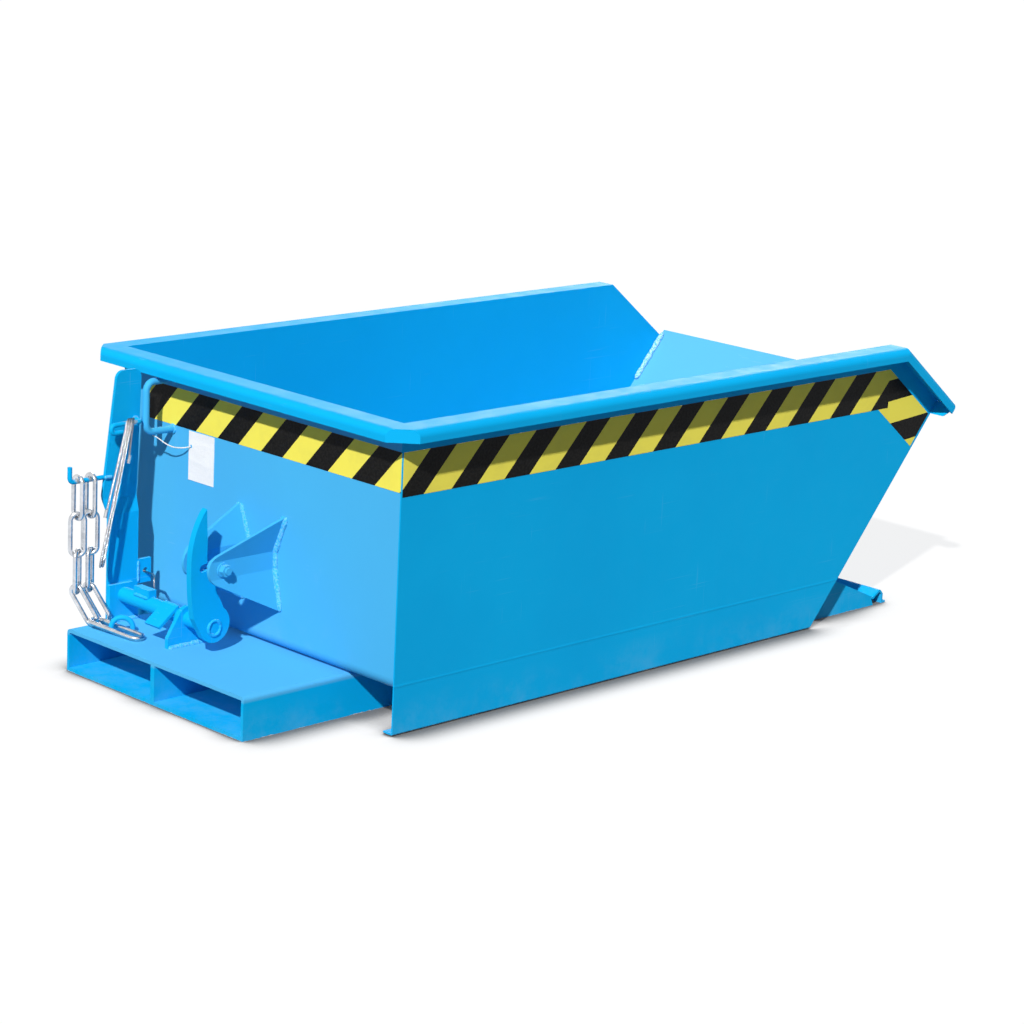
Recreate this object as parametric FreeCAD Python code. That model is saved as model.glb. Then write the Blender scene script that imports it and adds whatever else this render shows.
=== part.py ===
import FreeCAD, Part
import os
import math

# Driving dimensions in millimetres, angles in degrees
# X runs to the tipping side, Y to the left, Z up, and X is counted from the hopper's rear face here
# until save() moves every piece to the middle of the base's underside

overrun = 4.0
fit_gap = 0.05
seat_gap = 0.3
level_gap = 1e-7

# Hopper
hopper_w = 708.0
hopper_half = hopper_w / 2
side_t = 3.0
side_low = 2.5
side_foot_x = 1026.0
side_flange_w = 22.0
side_bend = 2.5
front_slope = 49.7
sheet_t = 3.0
floor_z = 76.0
rear_bend = 20.0
front_bend = 14.0
lip_x = 1364.0
inner_half = hopper_half - side_t

# Rim
rim_top = 510.0
rim_t = 3.0
rim_out = 46.0
rim_drop = 22.0
rim_bend = 13.0
rim_flat_end = 1203.0
rim_fall = 38.3
rim_cut = 38.0

# Warning tape, kept under the rim
tape_t = 0.4
tape_side_band = 118.0
tape_rear_band = 111.0
tape_down = 46.0
tape_side_low = rim_top - tape_side_band
tape_rear_low = rim_top - tape_rear_band
tape_top = rim_top - tape_down
tape_corner_in = 2.0
tape_far_y = 287.0
tape_front_in = 4.5
tape_end_past = 1.5
tape_end_x = rim_flat_end + tape_end_past
tape_turn_back = 26.0
tape_turn_x = rim_flat_end - tape_turn_back

# Plates that close the rim's front ends
cap_down = 22.0
cap_corner = 12.0

# Tag and its string
tag_y0 = 107.0
tag_y1 = 174.0
tag_under = 2.0
tag_h = 84.0
tag_z1 = tape_rear_low - tag_under
tag_z0 = tag_z1 - tag_h
tag_t = 0.8
tag_eye_r = 3.0
tag_eye_in = 6.0
tag_eye_down = 26.0
string_r = 1.0
string_bend = 8.0
string_side = 4.0
string_fall = 3.0
string_near_x = -10.0
string_mid_x = -26.0
string_far_x = -40.0

# Grab handle on the rear wall
grab_y = 218.0
grab_r = 6.0
grab_reach = 58.0
grab_down = 32.0
grab_h = 86.0
grab_top_z = rim_top - grab_down
grab_low_z = grab_top_z - grab_h
grab_bend = 15.0

# Catch lugs and bolt on the rear wall
catch_mid_y = -20.0
catch_x = -109.5
catch_z = 225.0
lug_t = 6.0
lug_nose = 28.0
lug_half_in = 30.0
lug_flat_half = 16.0
lug_top_z = 302.0
lug_low_z = 140.0
lug_flare_top = 25.0
lug_flare_low = 16.0
bolt_r = 6.0
bolt_hole_gap = 0.3
washer_r = 12.0
washer_t = 2.5
nut_af = 18.0
nut_h = 10.0
head_h = 7.5
bolt_past = 3.5

# Base with the two fork pockets
mouth_x = -205.0
pocket_end_x = 1074.0
base_half = 231.0
base_top = 73.0
base_t = 6.0
base_bend = 7.0
web_t = 10.0
cross_t = 8.0
cross_h = 50.0
seat_x = 60.0
seat_w = 30.0
seat_half = 200.0

# Front ramp and its stop ridge
ramp_half = 320.0
ramp_t = 4.0
ramp_back_x = 1131.0
ramp_back_z = 67.0
valley_x = 1250.0
valley_z = 15.5
crest_x = 1269.5
crest_z = 29.0
ridge_x = 1279.0
ridge_z = 18.0
ridge_foot_x = 1287.0
ramp_bend = 6.0
ridge_bend = 3.0
cheek_t = 6.0
cheek_toe_x = 1257.0
rib_t = 8.0
rib_y = 150.0

# Tipping hinge
hinge_x = 1105.0
hinge_z = 55.0
pin_r = 10.0
pin_head_r = 15.0
pin_head_t = 5.0
fork_side_in = 58.0
fork_in_y = ramp_half - fork_side_in
fork_t = 8.0
fork_gap = 20.0
fork_r = 16.0
fork_low_z = 12.0
hang_t = 10.0
hang_r = 18.0
hang_back_x = 1066.0
hang_top_z = 88.0
pin_past = 10.0
pin_washer_t = 2.0
pin_washer_r = 16.0
cotter_r = 2.0
cotter_half = 16.0

# Latch on its cross shaft
shaft_x = -100.0
shaft_z = 118.0
shaft_r = 13.45
hook_t = 12.0
shaft_end_y = 222.5
hook_shut = 9.0
hook_lobe = 27.0
throat_gap = 0.4
beak_clear = 2.0
hook_tip_dx = -20.0
hook_tip_dz = 203.0
hook_tip_back_dx = -25.0
hook_tip_back_dz = 197.5
hook_back = [(-33.6, 183.0), (-44.0, 157.0), (-50.0, 112.0), (-48.1, 58.0), (-42.7, 21.0)]
beak_dz = 146.0
jaw_dx = 9.0
jaw_low = (4.0, 61.0)
lobe_top = (19.0, 31.0)
tab_y0 = 61.0
tab_w = 38.0
tab_l = 44.0
tab_t = 5.0
tab_fall = 38.0
block_y0 = 138.0
block_l = 40.0
block_h = 12.0
block_w = 16.0

# Brackets of the cross shaft
near_y0 = 40.0
near_t = 8.0
near_back_x = -143.0
near_front_x = -62.0
near_step_z = 91.0
near_r = 22.0
far_y0 = 215.0
far_t = 8.0
far_back_x = -130.0
far_front_x = -70.0
far_top_z = 138.0
far_cut = 11.0

# Upright post, its hooks and its spring lug
post_t = 6.0
post_low_y = 223.0
post_high_y = 231.0
post_step_z0 = 258.0
post_step_z1 = 284.0
post_under = 10.0
post_top_z = rim_top - post_under
post_low_x0 = -128.0
post_low_x1 = -66.0
post_mid_x0 = -135.0
post_mid_x1 = -65.0
post_mid_z = 290.0
post_high_x0 = -108.0
post_high_x1 = -58.0
post_corner = 15.0
rod_r = 4.0
rod_x0 = -70.0
rod_x1 = -126.0
rod_down = 86.0
rod_z = post_top_z - rod_down
rod_y = 213.0
rod_turn = 7.0
rod_tail_x = -110.0
rod_bend = 9.0
peg_r = 4.0
peg_z = 322.0
peg_y = 234.0
peg_x0 = -132.0
peg_x1 = -201.0
peg_rise = 26.0
peg_bend = 8.0
ear_x1 = -38.0
ear_z0 = 130.0
ear_z1 = 172.0
ear_hole_x = -50.0
ear_hole_z = 151.0
ear_hole_r = 5.0
wire_r = 2.0
wire_bend = 12.0
wire_pts = [(-50.0, 240.0, 148.3), (-50.0, 200.0, 148.3), (-72.0, 170.0, 156.0), (-76.0, 164.0, 132.0)]

# Chain and its eye
link_l = 80.0
link_w = 32.0
link_d = 8.0
link_play = 0.5
strand_x = -184.0
strand_twists = [0.0, 63.5, 127.0]
slack_x = -158.0
slant_head = (19.1, -30.8)
slant_normal = (0.983, 0.182, 0)
slant_in = 11.0
slant_rest_z = 79.6
long_in = 9.0
long_rest_z = 77.6
long_l = 118.0
long_head = (0.182, -0.983)
eye_x = -145.5
eye_y = 160.0
eye_r = 18.0
eye_rod_r = 4.5
eye_leg = 8.0
eye_turn = -36.87

# Release rope kept as a hank
rope_r = 2.0
hank_loops = 2
hank_under = 6.6
hank_top = (-95.0, 214.0, rod_z - hank_under)
hank_low = (-158.0, 198.0, 193.5)
hank_facing = (-0.7, -0.7)
hank_half = 13.4
hank_pitch = 7.2
hank_tail_front = 150.0
hank_tail_back = 60.0
quarter_share = 0.25
self_apart = 16.0
mark_step = 1.0
ferrule_r = 3.4
ferrule_l = 14.0
ferrule_past = 3.0
ferrule_gap = 0.3


def V(x, y, z):
    return FreeCAD.Vector(x, y, z)


# Placement shared by every saved piece
origin_x = (mouth_x + ridge_foot_x) / 2


def save(name, shape):
    shape = shape.copy()
    shape.translate(V(-origin_x, 0, 0))
    shape.exportStep("parts/" + name + ".step")
    print(name, "solids", len(shape.Solids), "valid", shape.isValid(), "volume", round(shape.Volume))


# Small tools

def prism_xz(points, y0, y1):
    loop = [V(x, y0, z) for x, z in points]
    face = Part.Face(Part.makePolygon(loop + loop[:1]))
    return face.extrude(V(0, y1 - y0, 0))


def prism_yz(points, x0, x1):
    loop = [V(x0, y, z) for y, z in points]
    face = Part.Face(Part.makePolygon(loop + loop[:1]))
    return face.extrude(V(x1 - x0, 0, 0))


def prism_xy(points, z0, z1):
    loop = [V(x, y, z0) for x, y in points]
    face = Part.Face(Part.makePolygon(loop + loop[:1]))
    return face.extrude(V(0, 0, z1 - z0))


def box(x0, x1, y0, y1, z0, z1):
    return prism_xy([(x0, y0), (x1, y0), (x1, y1), (x0, y1)], z0, z1)


def round_y(x, z, r, y0, y1):
    return Part.makeCylinder(r, y1 - y0, V(x, y0, z), V(0, 1, 0))


def left_normal(a, b):
    dx = b[0] - a[0]
    dz = b[1] - a[1]
    n = math.hypot(dx, dz)
    return (-dz / n, dx / n)


def beside(points, t):
    """The line t to the left of an open line of points, mitred at its corners."""
    out = []
    last = len(points) - 1
    for i, p in enumerate(points):
        n0 = left_normal(points[i - 1], p) if i > 0 else left_normal(p, points[i + 1])
        n1 = left_normal(p, points[i + 1]) if i < last else n0
        mx = n0[0] + n1[0]
        mz = n0[1] + n1[1]
        k = 2 * t / (mx * mx + mz * mz)
        out.append((p[0] + mx * k, p[1] + mz * k))
    return out


def band(points, t):
    """The closed outline of a bent sheet whose one face follows the points."""
    return points + beside(points, t)[::-1]


def soften(shape, axis, spots):
    """Rounds the edges that run along an axis through the given spots of the other two axes."""
    for (a, b, r) in spots:
        found = []
        for edge in shape.Edges:
            if edge.Curve.TypeId != "Part::GeomLine":
                continue
            d = edge.Vertexes[-1].Point.sub(edge.Vertexes[0].Point)
            p = edge.CenterOfMass
            run = {"x": d.x, "y": d.y, "z": d.z}[axis]
            if abs(abs(run) - d.Length) > fit_gap:
                continue
            at = {"x": (p.y, p.z), "y": (p.x, p.z), "z": (p.x, p.y)}[axis]
            if math.hypot(at[0] - a, at[1] - b) < fit_gap:
                found.append(edge)
        if found:
            shape = shape.makeFillet(r, found)
    return shape


def bent_rod(points, r, bend):
    """A round bar through the points with every corner bent to one radius."""
    p = [V(*q) for q in points]
    edges = []
    start = p[0]
    for i in range(1, len(p) - 1):
        a = p[i - 1].sub(p[i]).normalize()
        b = p[i + 1].sub(p[i]).normalize()
        half = a.getAngle(b) / 2
        run = bend / math.tan(half)
        t0 = p[i] + a * run
        t1 = p[i] + b * run
        mid_dir = (a + b).normalize()
        mid = p[i] + mid_dir * (bend / math.sin(half) - bend)
        if start.sub(t0).Length > fit_gap:
            edges.append(Part.makeLine(start, t0))
        edges.append(Part.Arc(t0, mid, t1).toShape())
        start = t1
    edges.append(Part.makeLine(start, p[-1]))
    return swept(edges, r)


def swept(edges, r):
    path = Part.Wire(edges)
    first = edges[0]
    at = first.valueAt(first.FirstParameter)
    along = first.tangentAt(first.FirstParameter)
    ring = Part.Wire(Part.makeCircle(r, at, along))
    return path.makePipeShell([ring], True, False)


def hexagon_y(x, z, across, y0, y1):
    r = across / math.sqrt(3)
    turns = [math.radians(60 * k) for k in range(6)]
    return prism_xz([(x + r * math.cos(a), z + r * math.sin(a)) for a in turns], y0, y1)


def mirrored(shape, y=0):
    return shape.mirror(V(0, y, 0), V(0, 1, 0))


# Lines that several pieces share

front_run = 1 / math.tan(math.radians(front_slope))


def front_x(z):
    return side_foot_x + (z - side_low) * front_run


def rim_line(drop, back):
    """Rear end, corner and front end of the rim's top line, lowered by a drop square to it."""
    fall = math.radians(rim_fall)
    corner_x = rim_flat_end - drop * math.tan(fall / 2)
    corner_z = rim_top - drop
    k = math.tan(fall)
    end_x = (corner_z + corner_x * k + (side_foot_x / front_run) - side_low) / (1 / front_run + k)
    end_z = corner_z - (end_x - corner_x) * k
    return [(back, corner_z), (corner_x, corner_z), (end_x, end_z)]


# Hopper pieces

def trough():
    lip_z = side_low + (lip_x - side_foot_x) / front_run
    outer = [(0, rim_top - rim_t), (0, floor_z), (front_x(floor_z), floor_z), (lip_x, lip_z)]
    inner = beside(outer, sheet_t)
    body = prism_xz(band(outer, sheet_t), -inner_half, inner_half)
    spots = [
        (outer[1][0], outer[1][1], rear_bend),
        (inner[1][0], inner[1][1], rear_bend - sheet_t),
        (outer[2][0], outer[2][1], front_bend),
        (inner[2][0], inner[2][1], front_bend - sheet_t),
    ]
    return soften(body, "y", spots)


def side_plate():
    top = rim_line(rim_t, 0)
    outline = [(0, side_low), (side_foot_x, side_low), top[2], top[1], top[0]]
    plate = prism_xz(outline, inner_half, hopper_half)
    flange = box(0, side_foot_x, hopper_half - side_flange_w, hopper_half, side_low, side_low + side_t)
    whole = plate.fuse(flange).removeSplitter()
    return soften(whole, "x", [(hopper_half, side_low, side_bend)])


def rim_block(inset):
    """The rim as a full block, drawn in by an inset on its top and outer faces."""
    back = inset - rim_out
    outer_y = hopper_half + rim_out - inset
    low = rim_drop if inset == 0 else rim_drop + overrun
    top = rim_line(inset, back)
    under = rim_line(low, back)
    inner_y = inner_half if inset == 0 else inner_half - overrun
    inner_x = sheet_t if inset == 0 else sheet_t + overrun
    if inset > 0:
        top[2] = rim_front_past(inset)
        under[2] = rim_front_past(low)
    side = prism_xz(top + under[::-1], inner_y, outer_y)
    rear = box(back, inner_x, -outer_y, outer_y, rim_top - low, rim_top - inset)
    block = rear.fuse([side, mirrored(side)]).removeSplitter()
    leg = rim_cut - (2 - math.sqrt(2)) * inset
    corner = prism_xy(
        [(back - overrun, outer_y + overrun), (back + leg + overrun, outer_y + overrun),
         (back - overrun, outer_y - leg - overrun)],
        rim_top - low - overrun, rim_top + overrun)
    block = block.cut(corner).cut(mirrored(corner))
    edges = []
    for edge in block.Edges:
        p = edge.CenterOfMass
        ends = [v.Point for v in edge.Vertexes]
        on_top = all(top_gap(q, inset) < fit_gap for q in ends)
        at_edge = abs(p.y) > outer_y - fit_gap or p.x < back + fit_gap
        in_corner = p.x < back + leg and abs(p.y) > outer_y - leg
        at_cut = in_corner and abs(p.x - back + abs(p.y) - outer_y) > fit_gap
        if on_top and (at_edge or at_cut):
            edges.append(edge)
    return block.makeFillet(rim_bend - inset, edges)


def rim_front_past(drop):
    """The front end of a lowered rim line, run on past the front panel."""
    line = rim_line(drop, 0)
    fall = math.radians(rim_fall)
    return (line[2][0] + overrun * math.cos(fall), line[2][1] - overrun * math.sin(fall))


def top_gap(q, inset):
    line = rim_line(inset, 0)
    if q.x <= line[1][0] + fit_gap:
        return abs(q.z - line[1][1])
    return abs(q.z - (line[1][1] - (q.x - line[1][0]) * math.tan(math.radians(rim_fall))))


def rim_pieces():
    ring = rim_block(0).cut(rim_block(rim_t))
    far = rim_out + overrun
    wedge = prism_xy(
        [(sheet_t, -inner_half), (-far, -inner_half - far - sheet_t), (-far, inner_half + far + sheet_t),
         (sheet_t, inner_half)],
        rim_top - rim_drop - overrun, rim_top + overrun)
    rear = ring.common(wedge)
    sides = ring.cut(wedge)
    left = [s for s in sides.Solids if s.CenterOfMass.y > 0]
    right = [s for s in sides.Solids if s.CenterOfMass.y < 0]
    return rear.Solids[0], left[0], right[0]


def side_tape():
    return box(tape_corner_in, tape_end_x, hopper_half, hopper_half + tape_t, tape_side_low, tape_top)


def front_tape():
    """Strip along the falling rim: it meets the end of the side tape and runs to the front edge."""
    k = math.tan(math.radians(rim_fall))

    def at_edge(x, z):
        far = (z + x * k + side_foot_x / front_run - side_low) / (1 / front_run + k) - tape_front_in
        return far, z - (far - x) * k

    turn = (tape_turn_x, tape_side_low)
    corner = (tape_end_x, tape_top)
    points = [turn, at_edge(*turn), at_edge(*corner), corner, (tape_end_x, tape_side_low)]
    return prism_xz(points, hopper_half, hopper_half + tape_t)


def rear_tape():
    return box(-tape_t, 0, tape_corner_in - hopper_half, tape_far_y, tape_rear_low, tape_top)


def rim_cap():
    """Plate in line with the front panel that closes the left rim's front end, with its low corner cut."""
    z1 = rim_line(rim_t / 2, 0)[2][1]
    z0 = z1 - cap_down
    back = rim_t / math.sin(math.radians(front_slope))
    outer_y = hopper_half + rim_out - rim_t
    points = [(front_x(z0), z0), (front_x(z1), z1), (front_x(z1) - back, z1), (front_x(z0) - back, z0)]
    plate = prism_xz(points, hopper_half, outer_y)
    corner = prism_yz(
        [(outer_y - cap_corner, z0), (outer_y + overrun, z0 + cap_corner + overrun), (outer_y + overrun, z0 - overrun),
         (outer_y - cap_corner, z0 - overrun)],
        front_x(z0) - back - overrun, front_x(z1) + overrun)
    parts = plate.cut(corner).cut(rim_pieces()[1])
    return min(parts.Solids, key=lambda s: s.CenterOfMass.z)


def tag():
    card = box(-tag_t, 0, tag_y0, tag_y1, tag_z0, tag_z1)
    hole = Part.makeCylinder(
        tag_eye_r, overrun, V(-overrun / 2, tag_y1 - tag_eye_in, tag_z1 - tag_eye_down), V(1, 0, 0))
    return card.cut(hole)


def tag_string():
    """Twine from the tag's eye, sagging to the underside of the handle's lower leg."""
    eye_at = (tag_y1 - tag_eye_in, tag_z1 - tag_eye_down)
    mid_y = (eye_at[0] + grab_y) / 2
    under_z = grab_low_z - grab_r - string_r - seat_gap
    points = [
        (-string_r - fit_gap, eye_at[0], eye_at[1]),
        (string_near_x, eye_at[0] + string_side, eye_at[1] - string_fall),
        (string_mid_x, mid_y, eye_at[1] - string_fall),
        (string_far_x, grab_y - string_side, under_z),
        (string_far_x, grab_y + string_side, under_z),
    ]
    return bent_rod(points, string_r, string_bend)


def grab_handle():
    points = [
        (0, grab_y, grab_low_z),
        (-grab_reach, grab_y, grab_low_z),
        (-grab_reach, grab_y, grab_top_z),
        (0, grab_y, grab_top_z),
    ]
    return bent_rod(points, grab_r, grab_bend)


def catch_lug():
    """The left lug: a side outline with a round nose, cut from a plate bent outwards above and below."""
    y = catch_mid_y + lug_half_in
    faces = [
        (y + lug_flare_low, lug_low_z),
        (y, catch_z - lug_flat_half),
        (y, catch_z + lug_flat_half),
        (y + lug_flare_top, lug_top_z),
    ]
    plate = prism_yz(band(faces, -lug_t), catch_x - lug_nose - overrun, 0)
    centre = V(catch_x, 0, catch_z)
    top_turn = tangent_turn(V(0, 0, lug_top_z), centre, lug_nose, 1)
    low_turn = tangent_turn(V(0, 0, lug_low_z), centre, lug_nose, -1)
    tip = V(catch_x - lug_nose, 0, catch_z)
    edges = [
        Part.makeLine(V(0, 0, lug_low_z), V(0, 0, lug_top_z)),
        Part.makeLine(V(0, 0, lug_top_z), top_turn),
        Part.Arc(top_turn, tip, low_turn).toShape(),
        Part.makeLine(low_turn, V(0, 0, lug_low_z)),
    ]
    outline = Part.Face(Part.Wire(edges))
    low_y = y - lug_t - overrun
    outline.translate(V(0, low_y, 0))
    solid = outline.extrude(V(0, lug_flare_top + lug_t * 2 + overrun * 2, 0))
    hole = round_y(catch_x, catch_z, bolt_r + bolt_hole_gap, low_y, y + lug_flare_top + lug_t)
    return plate.common(solid).cut(hole)


def tangent_turn(p, c, r, side):
    """Where a line from p touches a circle in the XZ plane, above its middle for side 1."""
    d = p.sub(c)
    far = math.hypot(d.x, d.z)
    spread = math.acos(r / far)
    turn = math.atan2(d.z, d.x) + side * spread
    return V(c.x + r * math.cos(turn), c.y, c.z + r * math.sin(turn))


def catch_bolt():
    head_y = catch_mid_y + lug_half_in + lug_t
    end_y = catch_mid_y - lug_half_in - lug_t - washer_t - nut_h - bolt_past
    shank = round_y(catch_x, catch_z, bolt_r, end_y, head_y + washer_t)
    head = hexagon_y(catch_x, catch_z, nut_af, head_y + washer_t, head_y + washer_t + head_h)
    return shank.fuse(head).removeSplitter()


def catch_nut():
    face = catch_mid_y - lug_half_in - lug_t - washer_t
    body = hexagon_y(catch_x, catch_z, nut_af, face - nut_h, face)
    return body.cut(round_y(catch_x, catch_z, bolt_r + fit_gap, face - nut_h - overrun, face + overrun))


def catch_washers():
    out = lug_half_in + lug_t
    rings = []
    for y in (catch_mid_y + out, catch_mid_y - out - washer_t):
        ring = round_y(catch_x, catch_z, washer_r, y, y + washer_t)
        hole = round_y(catch_x, catch_z, bolt_r + bolt_hole_gap, y - overrun, y + washer_t + overrun)
        rings.append(ring.cut(hole))
    return Part.makeCompound(rings)


def hinge_hanger():
    """Hopper half of the left hinge: an eye under the floor bend."""
    y0 = fork_in_y + fork_t + (fork_gap - hang_t) / 2
    y1 = y0 + hang_t
    eye = round_y(hinge_x, hinge_z, hang_r, y0, y1)
    web = prism_xz(
        [(hang_back_x, floor_z), (hinge_x - hang_r, hinge_z), (hinge_x + hang_r, hinge_z),
         (front_x(hang_top_z), hang_top_z), (front_x(floor_z), floor_z)],
        y0, y1)
    whole = eye.fuse(web).removeSplitter().cut(trough())
    whole = max(whole.Solids, key=lambda s: s.Volume)
    return whole.cut(round_y(hinge_x, hinge_z, pin_r + fit_gap, y0 - overrun, y1 + overrun))


# Base pieces

def pocket_shell():
    line = [(-base_half, 0), (-base_half, base_top), (base_half, base_top), (base_half, 0)]
    inner = beside(line, -base_t)
    body = prism_yz(band(line, -base_t), mouth_x, pocket_end_x)
    spots = []
    for k in (1, 2):
        spots.append((line[k][0], line[k][1], base_bend))
        spots.append((inner[k][0], inner[k][1], base_bend - base_t))
    return soften(body, "x", spots)


def pocket_floor():
    half = base_half - base_t
    return box(mouth_x, pocket_end_x, -half, half, 0, base_t)


def pocket_web():
    return box(mouth_x, pocket_end_x, -web_t / 2, web_t / 2, base_t, base_top - base_t)


def cross_bar():
    half = ramp_half
    return box(pocket_end_x, pocket_end_x + cross_t, -half, half, 0, cross_h)


def seat_bar():
    return box(seat_x, seat_x + seat_w, -seat_half, seat_half, base_top, floor_z - seat_gap)


ramp_line = [
    (ramp_back_x, ramp_back_z), (valley_x, valley_z), (crest_x, crest_z), (ridge_x, ridge_z),
    (ridge_x, ramp_t), (ridge_foot_x, ramp_t)]


def ramp_sheet():
    under = beside(ramp_line, -ramp_t)
    body = prism_xz(band(ramp_line, -ramp_t), -ramp_half, ramp_half)
    spots = [
        (ramp_line[1][0], ramp_line[1][1], ramp_bend - ramp_t),
        (under[1][0], under[1][1], ramp_bend),
        (ramp_line[2][0], ramp_line[2][1], ramp_bend),
        (under[2][0], under[2][1], ramp_bend - ramp_t),
        (ramp_line[4][0], ramp_line[4][1], ridge_bend),
    ]
    return soften(body, "y", spots)


def ramp_web(y0, t):
    under = beside(ramp_line, -ramp_t)
    back = pocket_end_x + cross_t
    fall = (ramp_back_z - valley_z) / (valley_x - ramp_back_x)
    toe = (under[1][0] - ramp_bend, under[1][1] + ramp_bend * fall)
    points = [(back, 0), (cheek_toe_x - ramp_bend, 0), toe, under[0], (back, cross_h)]
    return prism_xz(points, y0, y0 + t)


def hinge_fork(y0):
    back = pocket_end_x + cross_t
    eye = round_y(hinge_x, hinge_z, fork_r, y0, y0 + fork_t)
    lean = fork_r * math.sqrt(0.5)
    web = prism_xz(
        [(back, fork_low_z), (hinge_x + fork_r, hinge_z), (hinge_x - lean, hinge_z + lean), (back, cross_h)],
        y0, y0 + fork_t)
    hole = round_y(hinge_x, hinge_z, pin_r + fit_gap, y0 - overrun, y0 + fork_t + overrun)
    return eye.fuse(web).removeSplitter().cut(hole)


pin_end_y = fork_in_y + fork_t * 2 + fork_gap + pin_washer_t + pin_past


def hinge_pin():
    head = round_y(hinge_x, hinge_z, pin_head_r, fork_in_y - pin_head_t, fork_in_y)
    shank = round_y(hinge_x, hinge_z, pin_r, fork_in_y, pin_end_y)
    y = pin_end_y - pin_past / 2
    deep = pin_r + overrun
    hole = Part.makeCylinder(cotter_r + fit_gap, deep * 2, V(hinge_x, y, hinge_z - deep), V(0, 0, 1))
    return head.fuse(shank).removeSplitter().cut(hole)


def hinge_washer():
    y0 = fork_in_y + fork_t * 2 + fork_gap
    ring = round_y(hinge_x, hinge_z, pin_washer_r, y0, y0 + pin_washer_t)
    return ring.cut(round_y(hinge_x, hinge_z, pin_r + fit_gap, y0 - overrun, y0 + pin_washer_t + overrun))


def hinge_cotter():
    y = pin_end_y - pin_past / 2
    return Part.makeCylinder(cotter_r, cotter_half * 2, V(hinge_x, y, hinge_z - cotter_half), V(0, 0, 1))


def near_bracket():
    y1 = near_y0 + near_t
    eye = round_y(shaft_x, shaft_z, near_r, near_y0, y1)
    slope = tangent_turn(V(near_back_x, 0, near_step_z), V(shaft_x, 0, shaft_z), near_r, -1)
    plate = prism_xz(
        [(near_back_x, base_top), (near_front_x, base_top), (shaft_x + near_r, shaft_z), (shaft_x, shaft_z),
         (slope.x, slope.z), (near_back_x, near_step_z)],
        near_y0, y1)
    hole = round_y(shaft_x, shaft_z, shaft_r + fit_gap, near_y0 - overrun, y1 + overrun)
    return eye.fuse(plate).removeSplitter().cut(hole)


def far_bracket():
    y1 = far_y0 + far_t
    plate = prism_xz(
        [(far_back_x, base_top), (far_front_x, base_top), (far_front_x, far_top_z - far_cut),
         (far_front_x - far_cut, far_top_z), (far_back_x, far_top_z)],
        far_y0, y1)
    return plate.cut(round_y(shaft_x, shaft_z, shaft_r + fit_gap, far_y0 - overrun, y1 + overrun))


def post():
    line = [
        (post_low_y, base_top), (post_low_y, post_step_z0),
        (post_high_y, post_step_z1), (post_high_y, post_top_z)]
    plate = prism_yz(band(line, -post_t), post_mid_x0 - overrun, post_high_x1 + overrun)
    outline = [
        (post_low_x0, base_top - overrun), (post_low_x0, post_step_z0), (post_mid_x0, post_mid_z),
        (post_high_x0, post_top_z), (post_high_x1, post_top_z),
        (post_mid_x1, post_mid_z), (post_low_x1, post_step_z0), (post_low_x1, base_top - overrun)]
    shape = prism_xz(outline, post_low_y - overrun, post_high_y + post_t + overrun)
    corners = [(post_high_x0, post_top_z, post_corner), (post_high_x1, post_top_z, post_corner)]
    return soften(plate.common(shape), "y", corners)


def rope_hook():
    """Round bar that stands off the post, runs back and turns under itself."""
    low_z = rod_z - rod_turn * 2
    a = V(rod_x1, rod_y, rod_z)
    b = V(rod_x1 - rod_turn, rod_y, rod_z - rod_turn)
    c = V(rod_x1, rod_y, low_z)
    corner = V(rod_x0, rod_y, rod_z)
    t0 = V(rod_x0, rod_y + rod_bend, rod_z)
    t1 = V(rod_x0 - rod_bend, rod_y, rod_z)
    inset = rod_bend * (1 - math.sqrt(0.5))
    mid = V(corner.x - inset, corner.y + inset, corner.z)
    edges = [
        Part.makeLine(V(rod_x0, post_high_y, rod_z), t0),
        Part.Arc(t0, mid, t1).toShape(),
        Part.makeLine(t1, a),
        Part.Arc(a, b, c).toShape(),
        Part.makeLine(c, V(rod_tail_x, rod_y, low_z)),
    ]
    return swept(edges, rod_r)


def chain_peg():
    points = [(peg_x0, peg_y, peg_z), (peg_x1, peg_y, peg_z), (peg_x1, peg_y, peg_z + peg_rise)]
    return bent_rod(points, peg_r, peg_bend)


def spring_ear():
    plate = box(post_low_x1, ear_x1, post_low_y, post_low_y + post_t, ear_z0, ear_z1)
    hole = round_y(ear_hole_x, ear_hole_z, ear_hole_r, post_low_y - overrun, post_low_y + post_t + overrun)
    return plate.cut(hole)


def spring_wire():
    return bent_rod(wire_pts, wire_r, wire_bend)


# Latch pieces

def latch_shaft():
    return round_y(shaft_x, shaft_z, shaft_r, catch_mid_y - hook_t / 2, shaft_end_y)


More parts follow.
